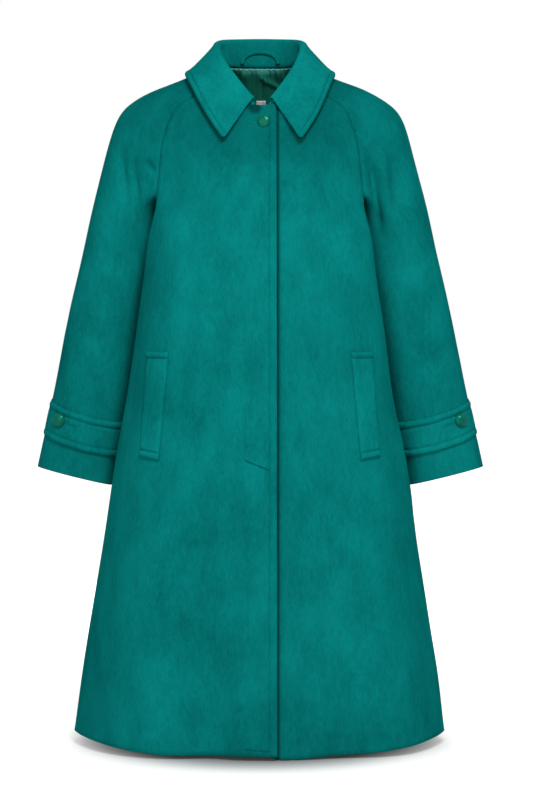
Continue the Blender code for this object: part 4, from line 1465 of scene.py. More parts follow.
@dataclass
class CoatPanels:
    """The two fronts, the back and the four sleeve pieces."""

    lap_fade: float = 0.075
    lap_rise: float = CLOTH + SEAM_GAP
    hem_drop: float = 0.005
    hem_drop_reach: float = 0.12
    hem_drop_start: float = 0.012
    hem_drop_span: Pair = (-0.95, 0.16)
    lap_short: float = 0.004
    edge_lift: float = 0.0034
    edge_lift_width: float = 0.016
    edge_lift_span: Pair = (-0.36, 0.16)
    edge_shadow: float = 0.0050
    shadow_place: float = 0.001
    shadow_width: float = 0.0045
    shadow_span: Pair = (-0.13, 0.25)
    edge: SewnEdge = SewnEdge(0.0126, 0.0006, 0.0010, 0.0017, 0.0008, 0.003)
    edge_reach: float = 0.03
    edge_round: float = 0.0010
    stitch_span: Pair = (-0.098, -1.104)
    stitch_step: float = 0.003
    skins: dict[str, Surface] = field(default_factory=dict)

    def build(self, surface: Surface) -> dict[str, Surface]:
        """Add the panels.

        Args:
            surface: the folded and sewn coat.

        Returns:
            Their outer faces by name.
        """
        lap = ("lap_left", "lap_right")
        plans = {name: (name, *lap) for name in ("front_right", "front_left")} | {"back": ("back",)}
        for side in Side:
            plans |= {name: (name,) for name in (f"sleeve_{side.label}_front", f"sleeve_{side.label}_back")}
        free = np.zeros(len(surface.points))
        free[np.unique(rim_edges(surface.cells))] = self.edge_round
        for name, parts in plans.items():
            self.skins[name] = self.panel(surface, name, surface.part(*parts), free)
        return self.skins

    def panel(self, surface: Surface, name: str, cells: Array, free: Array) -> Surface:
        """Add one panel.

        Args:
            surface: the coat.
            name: of the panel.
            cells: its cells.
            free: roundness at each point of the coat, more than 0 on its open rims.

        Returns:
            Its outer face.
        """
        face = Surface(surface.points.copy(), cells, np.full(len(cells), name))
        face.normals = surface.normals
        x, _, z = face.points.T
        rise = np.zeros(len(x))
        round_off = free.copy()
        if name == "front_right":
            full = self.lap_fade - LAP_HALF - self.lap_short
            rise = self.lap_rise * smooth_step((x + self.lap_fade) / full)
            rise = rise + self.front_edge(LAP_HALF - x)
            lift = self.edge_lift * bell((LAP_HALF - x) / self.edge_lift_width)
            rise = rise + lift * below(z, self.edge_lift_span)
            round_off[x > LAP_HALF - 1e-4] = self.edge_round
        if name == "front_left":
            inside = x - LAP_HALF
            near = smooth_step(1.0 - inside / self.hem_drop_reach)
            near = near * smooth_step(1.0 + inside / self.hem_drop_start)
            face.points[:, 2] -= self.hem_drop * near * below(z, self.hem_drop_span)
            trough = bell((inside - self.shadow_place) / self.shadow_width)
            rise = -self.edge_shadow * trough * below(z, self.shadow_span)
        points, faces = wall(face, cells, rise, rise - CLOTH, round_off)
        finish = {"front_right": OVER_WOOL, "front_left": UNDER_WOOL}.get(name, WOOL)
        show_piece(f"{name}_cloth", points, faces, finish, Slot.WOOL, name)
        face.points = face.points + face.normals * rise[:, None]
        return face

    def stitch_front(self) -> None:
        """Add the stitches of the front edge and of the fly."""
        tree = tree_of(self.skins["front_right"].points, self.skins["front_right"].cells)
        x = LAP_HALF - self.edge.stitch
        top, low = self.stitch_span
        sewn = Stitching("front_stitches")
        for start, end in (((x, 0.0, top), (x, 0.0, low)), FLY_LINES[1][:2]):
            count = max(int(math.dist(start, end) / self.stitch_step), 2)
            spots = np.linspace(start, end, count)
            hits = [tree.ray_cast(Vector((a, -1.0, b)), AHEAD)[:2] for a, _, b in spots]
            hits = [hit for hit in hits if hit[0] is not None]
            sewn.row(np.array([hit[0] for hit in hits]), np.array([hit[1] for hit in hits]))
        sewn.build()

    def front_edge(self, inside: Array) -> Array:
        """Return the relief of the stitched front edge at distances inside it."""
        relief = self.edge.swell(inside) - self.edge.rounded(inside)
        return np.where(inside < self.edge_reach, relief, 0.0)


@dataclass
class Stitching:
    """Rows of small stitches, sunk a little in the cloth."""

    name: str
    pitch: float = 0.0036
    length: float = 0.0031
    radius: float = 0.00042
    sides: int = 6
    points: list = field(default_factory=list)
    faces: list = field(default_factory=list)

    def row(self, path: Array, normals: Array) -> None:
        """Add a row along a path on the cloth.

        Args:
            path: points on the cloth.
            normals: its outward normals there.
        """
        run = np.concatenate([[0.0], np.cumsum(np.linalg.norm(np.diff(path, axis=0), axis=1))])
        stations = np.array([0.0, 0.15, 0.5, 0.85, 1.0])
        swell = np.array([0.3, 0.85, 1.0, 0.85, 0.3])[:, None] * self.radius
        sink = np.array([-1.4, -0.2, 0.3, -0.2, -1.4])[:, None] * self.radius
        for start in np.arange(self.pitch / 2.0, run[-1] - self.length, self.pitch):
            spots = start + self.length * stations
            line, up = (np.stack([np.interp(spots, run, values[:, i]) for i in range(3)], axis=1)
                        for values in (path, normals))
            up = unit(up)
            across = unit(np.cross(up, line[-1] - line[0]))
            points, faces = tube(line + up * sink, across * swell, up * swell, self.sides)
            first = sum(len(p) for p in self.points)
            self.points.append(points)
            self.faces += [tuple(int(i) + first for i in face) for face in faces]

    def build(self) -> None:
        """Add all the rows as one piece."""
        show_piece(self.name, np.vstack(self.points), self.faces, THREAD, Slot.WOOL)


@dataclass
class Buttonhole:
    """Corded slit beside a button."""

    name: str
    half_length: float = 0.0115
    half_width: float = 0.0011
    cord: float = 0.0007
    sunk: float = 0.3
    squareness: float = 0.55
    steps: int = 40
    sides: int = 8
    reach: float = 0.02

    def build(self, tree: BVHTree, middle: Array, heading: Array, normal: Array) -> None:
        """Add the cord round the slit.

        Args:
            tree: the cloth that it is worked in.
            middle: its middle, on the cloth.
            heading: the direction of the slit.
            normal: the outward normal of the cloth there.
        """
        heading, normal = unit(heading), unit(normal)
        side = np.cross(normal, heading)
        turn = np.linspace(0.0, 2.0 * math.pi, self.steps, endpoint=False)
        waves = np.cos(turn), np.sin(turn)
        long, wide = (np.sign(wave) * np.abs(wave) ** self.squareness for wave in waves)
        spots = middle + np.outer(long * self.half_length, heading) + np.outer(wide * self.half_width, side)
        down = Vector(-normal)
        path = np.array([tree.ray_cast(Vector(s), down)[0] for s in spots + normal * self.reach])
        path = path + normal * self.cord * self.sunk
        ahead = unit(np.roll(path, -1, axis=0) - np.roll(path, 1, axis=0))
        across = unit(np.cross(ahead, normal)) * self.cord
        points, faces = tube(path, across, np.tile(normal * self.cord, (self.steps, 1)), self.sides, True)
        show_piece(self.name, points, faces, PAINTED_LIGHT_TRIM_WOOL, Slot.WOOL)


@dataclass
class Collar:
    """Turned-down collar with a puffy stitched edge and blunt points."""

    wall: float = 0.0050
    lift: float = 0.0030
    seat: float = 0.0006
    clear: float = 0.0010
    stand_off: float = 0.0078
    neck_radius: float = 0.085
    columns: int = 240
    stand_steps: int = 8
    roll_steps: int = 10
    fall_steps: int = 56
    edge: SewnEdge = SewnEdge(0.0098, 0.0036, 0.0046, 0.0018, 0.0026, 0.0040, 0.8)
    end_fade: float = 0.004
    tip_radius: float = 0.0095
    straight: float = 0.22
    bend_over: float = 0.20
    stand_pull: float = 0.35
    fall_pulls: Pair = (0.22, 0.3)
    blend: int = 12
    sweep: int = 6
    end_columns: int = 4
    rear_relief: float = 0.30
    relief_span: Pair = (0.015, 0.05)
    off_span: Pair = (0.45, 0.5)
    roll_blend: float = 0.12

    def build(self, surface: Surface, skins: dict[str, Surface]) -> Array:
        """Add the collar.

        Args:
            surface: the coat before its seams are pressed.
            skins: outer faces of the panels.

        Returns:
            Its middle face as a grid.
        """
        merged = np.vstack([s.points for s in skins.values()])
        first = np.cumsum([0] + [len(s.points) for s in skins.values()])
        cells = np.vstack([s.cells + n for s, n in zip(skins.values(), first)])
        grid = self.grid(surface, tree_of(merged, cells))
        to_edge, to_end = self.margins(grid)
        half = self.thickness(to_edge, to_end, self.relief(grid)) / 2.0
        grid = self.blunted(grid, to_edge, to_end)
        face = Surface.of_grid(grid)
        points, faces = wall(face, face.cells, half.ravel(), -half.ravel(), TRIM_ROUND, 0.0)
        show_piece("collar_cloth", points, faces, PAINTED_LIGHT_TRIM_WOOL, Slot.WOOL, "collar")
        self.stitch_edge(grid, face.normals.reshape(grid.shape), to_edge, half)
        return grid

    def relief(self, grid: Array) -> Array:
        """Return how far the stitched edge swells, most at the front and less over the shoulders."""
        start, span = self.relief_span
        return self.rear_relief + (1.0 - self.rear_relief) * smooth_step((-grid[:, -1:, 1] - start) / span)

    def stitch_edge(self, grid: Array, normals: Array, to_edge: Array, half: Array) -> None:
        """Add the stitches along the long edge.

        Args:
            grid: the middle face.
            normals: at its points.
            to_edge: distances to the long edge.
            half: half its wall.
        """
        fall = slice(-self.fall_steps, None)
        outward = np.sign(np.sum(normals[:, fall, :2] * grid[:, fall, :2]))
        path, up = [], []
        for i in range(self.end_columns, len(grid) - self.end_columns):
            inside = to_edge[i, fall][::-1]
            skin = (grid + outward * normals * half[..., None])[i, fall][::-1]
            facing = outward * normals[i, fall][::-1]
            for found, values in ((path, skin), (up, facing)):
                found.append([np.interp(self.edge.stitch, inside, values[:, k]) for k in range(3)])
        sewn = Stitching("collar_stitches")
        sewn.row(np.array(path), np.array(up))
        sewn.build()

    def margins(self, grid: Array) -> tuple[Array, Array]:
        """Return the distances of the fall to its long edge and to the nearer front end.

        Args:
            grid: the middle face.

        Returns:
            Both distances.
        """
        step = np.linalg.norm(np.diff(grid, axis=1), axis=2)
        to_edge = np.hstack([np.cumsum(step[:, ::-1], axis=1)[:, ::-1], np.zeros((len(grid), 1))])
        run = np.linalg.norm(np.diff(grid, axis=0), axis=2)
        from_end = np.vstack([np.zeros((1, grid.shape[1])), np.cumsum(run, axis=0)])
        to_end = np.minimum(from_end, from_end[-1] - from_end)
        stand = np.arange(grid.shape[1]) < grid.shape[1] - self.fall_steps - 1
        to_edge[:, stand] = 1.0
        to_end[:, stand] = 1.0
        return to_edge, to_end

    def thickness(self, to_edge: Array, to_end: Array, relief: Array) -> Array:
        """Return the wall of the collar at distances from its long edge and its front ends."""
        swell = self.edge.swell(to_edge) * relief * smooth_step(to_end / self.end_fade)
        return self.wall + swell - self.edge.rounded(np.minimum(to_edge, to_end))

    def blunted(self, grid: Array, to_edge: Array, to_end: Array) -> Array:
        """Return the grid with its two points rounded off.

        Args:
            grid: the middle face.
            to_edge: to the long edge.
            to_end: to the front ends.

        Returns:
            The grid.
        """
        radius = self.tip_radius
        end = np.clip(1.0 - to_end / radius, 0.0, 1.0)
        edge = np.clip(1.0 - to_edge / radius, 0.0, 1.0)
        shrink = 1.0 - np.maximum(end, edge) / np.maximum(np.hypot(end, edge), 1e-9)
        run = unit(np.gradient(grid, axis=0))
        run[len(run) // 2:] *= -1.0
        climb = -unit(np.gradient(grid, axis=1))
        return grid + radius * (run * (end * shrink)[..., None] + climb * (edge * shrink)[..., None])

    @staticmethod
    def round_neck(values: Sequence, sign: float = 1.0) -> list[Array]:
        """Return values of the half collar for the whole collar, from the -X to the +X front.

        Args:
            values: at the stations.
            sign: of single numbers on the -X side.

        Returns:
            The values in order.
        """
        values = [np.asarray(v, dtype=float) for v in values]
        flip = np.array([-1.0, 1.0, 1.0]) if values[0].ndim else sign
        return [v * flip for v in values[:-1]] + values[::-1]

    @staticmethod
    def neck_seam(surface: Surface, bearings: Array) -> tuple[Array, Array, Array]:
        """Return points, normals and upward directions of the neck seam at the bearings.

        Args:
            surface: the coat.
            bearings: round the neck.

        Returns:
            Three arrays.
        """
        start, end = rim_edges(surface.cells).T
        high = surface.points[start, 2] > NECK_LOW
        start, end = start[high], end[high]
        up = np.zeros_like(surface.points)
        side = unit(np.cross(surface.points[end] - surface.points[start],
                             surface.normals[start] + surface.normals[end]))
        np.add.at(up, start, side)
        np.add.at(up, end, side)
        place = surface.points[start]
        angle = np.degrees(np.arctan2(place[:, 0], -place[:, 1]))
        order = np.argsort(angle)
        found = []
        for values in (place, surface.normals[start], up[start]):
            columns = [np.interp(bearings, angle[order], values[order, i], period=360.0) for i in range(3)]
            found.append(np.stack(columns, axis=1))
        return found[0], unit(found[1]), unit(found[2])

    def grid(self, surface: Surface, tree: BVHTree) -> Array:
        """Return the middle face of the collar, a section at each step round the neck.

        Args:
            surface: the coat.
            tree: its outer faces.

        Returns:
            The grid.
        """
        slide = np.outer(self.round_neck([row.shift for row in COLLAR]), (1.0, 0.0, 0.0))
        roll = spline(self.round_neck([row.roll for row in COLLAR]) + slide, 8)
        edge = spline(self.round_neck([row.edge for row in COLLAR]) + slide, 8)
        steps = np.linalg.norm(np.diff(roll, axis=0), axis=1)
        share = np.concatenate([[0.0], np.cumsum(steps)]) / steps.sum()
        wanted = np.linspace(0.0, 1.0, self.columns + 1)
        roll, edge = [np.stack([np.interp(wanted, share, line[:, i]) for i in range(3)], axis=1)
                      for line in (roll, edge)]
        station = np.interp(wanted, share, np.linspace(0.0, 2.0 * len(COLLAR) - 2.0, len(share)))
        places = np.arange(2 * len(COLLAR) - 1)
        bearing, radius, lean, turn = (self.eased(np.interp(station, places, values)) for values in (
            self.round_neck([row.bearing - 180.0 for row in COLLAR], -1.0),
            self.round_neck([row.radius for row in COLLAR]),
            self.round_neck([row.lean for row in COLLAR]),
            np.degrees(slide[:, 0] / self.neck_radius)))
        seam, normal, rise = self.neck_seam(surface, bearing + turn + 180.0)
        run = unit(np.gradient(roll, axis=0))
        out = unit(normal * np.stack([np.ones_like(lean), np.ones_like(lean), lean], axis=1))
        up = unit(np.cross(run, out))
        out = np.cross(up, run)
        seat = seam - normal * CLOTH / 2.0 + rise * self.seat
        base = seat + rise * self.lift
        middle = roll - up * radius[:, None]
        inner, outer = middle - out * radius[:, None], middle + out * radius[:, None]
        arc = np.linspace(0.0, math.pi, self.roll_steps + 1)[:-1, None]
        reach = self.clear + self.wall / 2.0
        necks, falls = [], []
        for i in range(self.columns + 1):
            free = self.kept_clear(tree, edge[i], reach)
            height = np.linalg.norm(inner[i] - base[i])
            length = np.linalg.norm(free - outer[i])
            handles = base[i] + rise[i] * self.lift, inner[i] - up[i] * height * self.stand_pull
            stand = bezier(base[i], *handles, inner[i], np.linspace(0, 1, self.stand_steps + 1)[:-1])
            over = middle[i] + (up[i] * np.sin(arc) - out[i] * np.cos(arc)) * radius[i]
            ahead = unit(free - outer[i])
            round_back = min(i, self.columns - i) / self.columns - self.straight
            near_end = 1.0 - smooth_step(round_back / self.bend_over)
            leave = unit(ahead * near_end - up[i] * (1.0 - near_end))
            leaves, lands = (length * pull for pull in self.fall_pulls)
            handles = outer[i] + leave * leaves, free - ahead * lands
            falls.append(bezier(outer[i], *handles, free, np.linspace(0, 1, self.fall_steps + 1)))
            necks.append(np.vstack([seat[i], stand, over]))
        return np.hstack([np.array(necks), self.laid_over(tree, np.array(falls))])

    def eased(self, values: Array) -> Array:
        """Return values round the neck without the corners at the stations.

        Args:
            values: a number for each section.

        Returns:
            The eased numbers.
        """
        size = 2 * self.blend + 1
        slope = (values[1] - values[0], values[-1] - values[-2])
        steps = np.arange(1, self.blend + 1)
        longer = np.concatenate([values[0] - slope[0] * steps[::-1], values, values[-1] + slope[1] * steps])
        return np.convolve(longer, np.full(size, 1.0 / size), "valid")

    def laid_over(self, tree: BVHTree, fall: Array) -> Array:
        """Return the fall moved out of the coat without a kink, its edge standing off a little.

        Args:
            tree: the coat's outer faces.
            fall: sections of the fall.

        Returns:
            The moved fall.
        """
        share = np.linspace(0.0, 1.0, fall.shape[1])
        start, span = self.off_span
        off = self.stand_off * self.relief(fall) * smooth_step((share - start) / span)
        reach = self.clear + self.wall / 2.0 + off
        amount = np.zeros(fall.shape[:2])
        heading = np.zeros_like(fall)
        for i, j in np.ndindex(*amount.shape):
            hit, normal, _, _ = tree.find_nearest(Vector(fall[i, j]))
            heading[i, j] = normal
            amount[i, j] = max(0.0, reach[i, j] - (Vector(fall[i, j]) - hit).dot(normal))
        widest = swept(amount, self.sweep, np.max)
        amount = swept(widest, self.sweep, np.mean) * smooth_step(share / self.roll_blend)
        heading = unit(np.stack([swept(heading[..., k], self.sweep, np.mean) for k in range(3)], axis=-1))
        return fall + heading * amount[..., None]

    @staticmethod
    def kept_clear(tree: BVHTree, point: Array, distance: float) -> Array:
        """Return a point moved out of the coat until it is the given distance from its outer face.

        Args:
            tree: the coat's outer faces.
            point: a place.
            distance: to keep.

        Returns:
            The moved point.
        """
        hit, normal, _, _ = tree.find_nearest(Vector(point))
        if (Vector(point) - hit).dot(normal) < distance:
            return np.array(hit + normal * distance)
        return np.array(point)


@dataclass
class PocketWelt:
    """Slanted welt whose ends are stitched down."""

    side: Side
    top_in: Pair = (0.1435, -0.4815)
    top_out: Pair = (0.1790, -0.4805)
    low_in: Pair = (0.1590, -0.6540)
    low_out: Pair = (0.1900, -0.6480)
    wall: float = 0.0040
    steps: tuple[int, int] = (30, 120)
    bar: SewnEdge = SewnEdge(0.0115, 0.0014, 0.0022, 0.0017, 0.0024, 0.0042)

    def build(self, skin: Surface) -> None:
        """Add the welt on its front.

        Args:
            skin: the outer face of the front.
        """
        tree = tree_of(skin.points, skin.cells)
        across, down = self.steps
        u, v = np.meshgrid(np.linspace(0.0, 1.0, across + 1), np.linspace(0.0, 1.0, down + 1))
        corners = [np.array(c) for c in (self.top_in, self.top_out, self.low_in, self.low_out)]
        shares = ((1 - u) * (1 - v), u * (1 - v), (1 - u) * v, u * v)
        flat = sum(share[..., None] * corner for share, corner in zip(shares, corners))
        grid = np.array([[tree.ray_cast(Vector((self.side.value * x, -1.0, z)), AHEAD)[0] for x, z in row]
                         for row in flat])
        width = np.linalg.norm(corners[1] - corners[0])
        length = np.linalg.norm(corners[2] - corners[0])
        to_end = np.minimum(v, 1.0 - v) * length
        thick = self.thickness(u * width, (1.0 - u) * width, to_end)
        name = f"pocket_welt_{self.side.label}"
        skin, normals, _ = sew_on(name, self.side, grid, thick)
        rows = round(self.bar.stitch / length * down)
        sewn = Stitching(f"{name}_stitches")
        for row in (rows, down - rows):
            sewn.row(skin[row, 2:-2], normals[row, 2:-2])
        sewn.build()

    def thickness(self, to_seam: Array, to_opening: Array, to_end: Array) -> Array:
        """Return the wall at distances from the sewn edge, the open edge and the nearer end."""
        near = np.minimum(np.minimum(to_opening, to_end), to_seam)
        return self.wall + self.bar.swell(to_end) - self.bar.rounded(near)


@dataclass
class CuffStrap:
    """Strap from the underarm seam over the front of the sleeve to a blunt tip."""

    side: Side
    stations: tuple[Pair, ...] = ((176.0, 0.080), (140.0, 0.075), (100.0, 0.073),
                                                 (60.0, 0.0765), (20.0, 0.083), (-14.0, 0.087))
    wall: float = 0.0034
    width: float = 0.058
    tip: float = 0.010
    tip_start: float = 0.81
    sleeve_radius: float = 0.055
    steps: tuple[int, int] = (130, 36)
    edge: SewnEdge = SewnEdge(0.0115, 0.0019, 0.0015, 0.0021, 0.0016, 0.0040)
    pressed: Pair = (0.72, 0.062)
    button: Pair = (58.0, 0.0860)
    hole_turn: float = 15.0
    hole_drop: float = 0.002
    button_lift: float = 0.0028
    face_on: float = 1.3
    button_shift: float = 0.0012

    def sleeve_point(self, tree: BVHTree, bearing: float, drop: float) -> tuple[Array, Array]:
        """Return the point and normal on the sleeve, drop metres up from the cuff edge.

        Args:
            tree: the sleeve's faces.
            bearing: round the sleeve, in degrees.
            drop: in metres.

        Returns:
            The point and the normal.
        """
        cuff, out, ahead = CoatForm.sleeve_axes(SLEEVE[-1])
        upper, _, _ = CoatForm.sleeve_axes(SLEEVE[-3])
        turn = math.radians(bearing)
        aim = out * math.cos(turn) * SLEEVE[-1].width + ahead * math.sin(turn) * SLEEVE[-1].depth
        flip = np.array([self.side.value, 1.0, 1.0])
        start = (cuff + unit(upper - cuff) * drop) * flip
        hit, normal, _, _ = tree.ray_cast(Vector(start), Vector(unit(aim) * flip))
        return np.array(hit), np.array(normal)

    def build(self, skins: dict[str, Surface]) -> tuple[Array, Array]:
        """Add the strap.

        Args:
            skins: outer faces of the panels.

        Returns:
            Seat and heading of its button.
        """
        halves = [skins[f"sleeve_{self.side.label}_{half}"] for half in ("front", "back")]
        points = np.vstack([s.points for s in halves])
        cells = np.vstack([halves[0].cells, halves[1].cells + len(halves[0].points)])
        tree = tree_of(points, cells)
        length, across = self.steps
        share = np.linspace(0.0, 1.0, length + 1)
        places = np.linspace(0.0, 1.0, len(self.stations))
        bearings, drops = (np.interp(share, places, column) for column in np.array(self.stations).T)
        grid = np.zeros((length + 1, across + 1, 3))
        for i in range(length + 1):
            near = smooth_step((share[i] - self.tip_start) / (1.0 - self.tip_start))
            for j, u in enumerate(np.linspace(-0.5, 0.5, across + 1)):
                bearing = bearings[i] + near * (2.0 * u) ** 2 * math.degrees(self.tip / self.sleeve_radius)
                grid[i, j] = self.sleeve_point(tree, bearing, drops[i] + u * self.width)[0]
        name = f"cuff_strap_{self.side.label}"
        skin, normals, cells = sew_on(name, self.side, grid, self.thickness(grid))
        self.stitch_edges(name, skin, normals)
        hit, normal = self.sleeve_point(tree, *self.button)
        bearing, drop = self.button
        ahead = self.sleeve_point(tree, bearing + self.hole_turn, drop - self.hole_drop)[0] - hit
        seat = hit + normal * (TRIM_LIFT + self.wall)
        cloth = tree_of(skin.reshape(-1, 3), cells)
        Buttonhole(f"{name}_buttonhole").build(cloth, seat + ahead, ahead, normal)
        hung = unit(normal + self.face_on * np.array([0.0, -1.0, 0.0]))
        outward = np.array([self.side.value * self.button_shift, 0.0, 0.0])
        return seat + normal * self.button_lift + outward, hung

    def stitch_edges(self, name: str, skin: Array, normals: Array) -> None:
        """Add the stitches along both edges and across the tip.

        Args:
            name: of the strap.
            skin: outer face of the strap.
            normals: at its points.
        """
        across = skin.shape[1] - 1
        column = round(self.edge.stitch / self.width * across)
        reach = np.linalg.norm(np.diff(skin[:, across // 2], axis=0), axis=1)[::-1].cumsum()
        last = len(skin) - 1 - int(np.searchsorted(reach, self.edge.stitch))
        sewn = Stitching(f"{name}_stitches")
        for j in (column, across - column):
            sewn.row(skin[:last + 1, j], normals[:last + 1, j])
        sewn.row(skin[last, column:across - column + 1], normals[last, column:across - column + 1])
        sewn.build()

    def thickness(self, grid: Array) -> Array:
        """Return the wall at each point of the strap.

        Args:
            grid: points of the strap.

        Returns:
            The walls.
        """
        step = np.linalg.norm(np.diff(grid, axis=1), axis=2).mean(axis=1, keepdims=True)
        place = np.arange(grid.shape[1])[None] * step
        to_side = np.minimum(place, place[:, -1:] - place)
        run = np.linalg.norm(np.diff(grid, axis=0), axis=2)
        to_tip = np.vstack([np.cumsum(run[::-1], axis=0)[::-1], np.zeros((1, grid.shape[1]))])
        inside = np.minimum(to_side, to_tip)
        share, reach = self.pressed
        pressed = 1.0 - share * smooth_step(1.0 - to_tip / reach)
        return (self.wall + self.edge.swell(inside) - self.edge.rounded(inside)) * pressed


NECK_DOME = (
    (0.00, 0.430), (0.25, 0.428), (0.45, 0.418), (0.62, 0.392), (0.76, 0.345), (0.87, 0.275),
    (0.95, 0.190), (0.99, 0.110), (1.00, 0.060), (0.95, 0.012), (0.80, 0.00), (0.40, 0.00),
)
CUFF_DOME = (
    (0.00, 0.520), (0.25, 0.502), (0.45, 0.456), (0.62, 0.386), (0.76, 0.302), (0.87, 0.212),
    (0.95, 0.132), (0.99, 0.078), (1.00, 0.045), (0.95, 0.012), (0.80, 0.00), (0.40, 0.00),
)


@dataclass
class Button:
    """Turned button with a smooth low dome."""

    name: str
    profile: tuple[Pair, ...]
    radius: float = 0.0108
    sides: int = 72

    def build(self, seat: Array, normal: Array) -> None:
        """Add the button on its seat.

        Args:
            seat: middle of its back.
            normal: the way it faces.
        """
        normal = unit(normal)
        across = unit(np.cross(np.array([0.0, 0.0, 1.0]), normal))
        upward = np.cross(normal, across)
        outline = spline(self.profile, 3)
        turn = np.linspace(0.0, 2.0 * math.pi, self.sides, endpoint=False)
        spokes = np.outer(np.cos(turn), across) + np.outer(np.sin(turn), upward)
        points = [seat + normal * outline[0, 1] * self.radius]
        for radius, height in outline[1:]:
            points.extend(seat + (spokes * radius + normal * height) * self.radius)
        points.append(seat + normal * outline[-1, 1] * self.radius)
        last = len(points) - 1
        rings = len(outline) - 1
        k = np.arange(self.sides)
        j = (k + 1) % self.sides
        faces = [(0, 1 + a, 1 + b) for a, b in zip(k, j)]
        for i in range(rings - 1):
            a = 1 + i * self.sides
            faces += zip(a + k, a + self.sides + k, a + self.sides + j, a + j)
        final = 1 + (rings - 1) * self.sides
        faces += [(final + b, final + a, last) for a, b in zip(k, j)]
        show_piece(f"{self.name}_turned", np.array(points), faces, RESIN, Slot.BUTTON, self.name)


@dataclass
class NeckClosure:
    """The shown neck button, leaning forward a little, and its buttonhole."""

    place: Pair = (0.006, -0.1115)
    stand_off: float = 0.0018
    on_cloth: float = 0.35
    lean: Point = (-0.10, -0.65, 0.0)
    hole: Point = (-0.0135, 0.0, -0.002)

    def build(self, skin: Surface) -> None:
        """Add the button and the buttonhole.

        Args:
            skin: the outer face of the over front.
        """
        tree = tree_of(skin.points, skin.cells)
        x, z = self.place
        hit, normal, _, _ = tree.ray_cast(Vector((x, -1.0, z)), AHEAD)
        hit, normal = np.array(hit), np.array(normal)
        hung = unit(normal * self.on_cloth + np.array(self.lean))
        Button("button_neck", NECK_DOME).build(hit + np.array([0.0, -self.stand_off, 0.0]), hung)
        heading = np.array([1.0, 0.0, 0.0])
        Buttonhole("neck_buttonhole").build(tree, hit + np.array(self.hole), heading, normal)


@dataclass
class HangerLoop:
    """Sewn tube at the back of the neck."""

    span: float = 0.030
    rise: float = 0.0215
    radii: Pair = (0.0034, 0.0020)
    foot: float = 0.004
    fullness: float = 0.8
    clear: float = 0.0010
    sides: int = 16
    steps: int = 72

    def build(self, collar: Array, stand_columns: int, collar_wall: float) -> None:
        """Add the loop in front of the collar's stand.

        Args:
            collar: its middle face.
            stand_columns: columns of the stand.
            collar_wall: its thickness.
        """
        middle = collar[len(collar) // 2]
        stand = Surface.of_grid(collar[:, :stand_columns])
        tree = tree_of(stand.points, stand.cells)
        turn = np.linspace(0.0, math.pi, self.steps + 1)
        x = -self.span * np.cos(turn)
        z = middle[0, 2] + self.foot + self.rise * np.sin(turn) ** self.fullness
        path = []
        for a, b in zip(x, z):
            hit = tree.ray_cast(Vector((a, 0.0, b)), AHEAD)[0]
            path.append((a, hit.y - collar_wall / 2.0 - self.radii[1] - self.clear, b))
        path = np.array(path)
        depth = np.tile((0.0, -1.0, 0.0), (len(path), 1))
        across = unit(np.cross(np.gradient(path, axis=0), depth))
        points, faces = tube(path, across * self.radii[0], depth * self.radii[1], self.sides)
        show_piece("hanger_loop_cloth", points, faces, PAINTED_LIGHT_TRIM_WOOL, Slot.WOOL, "hanger_loop")


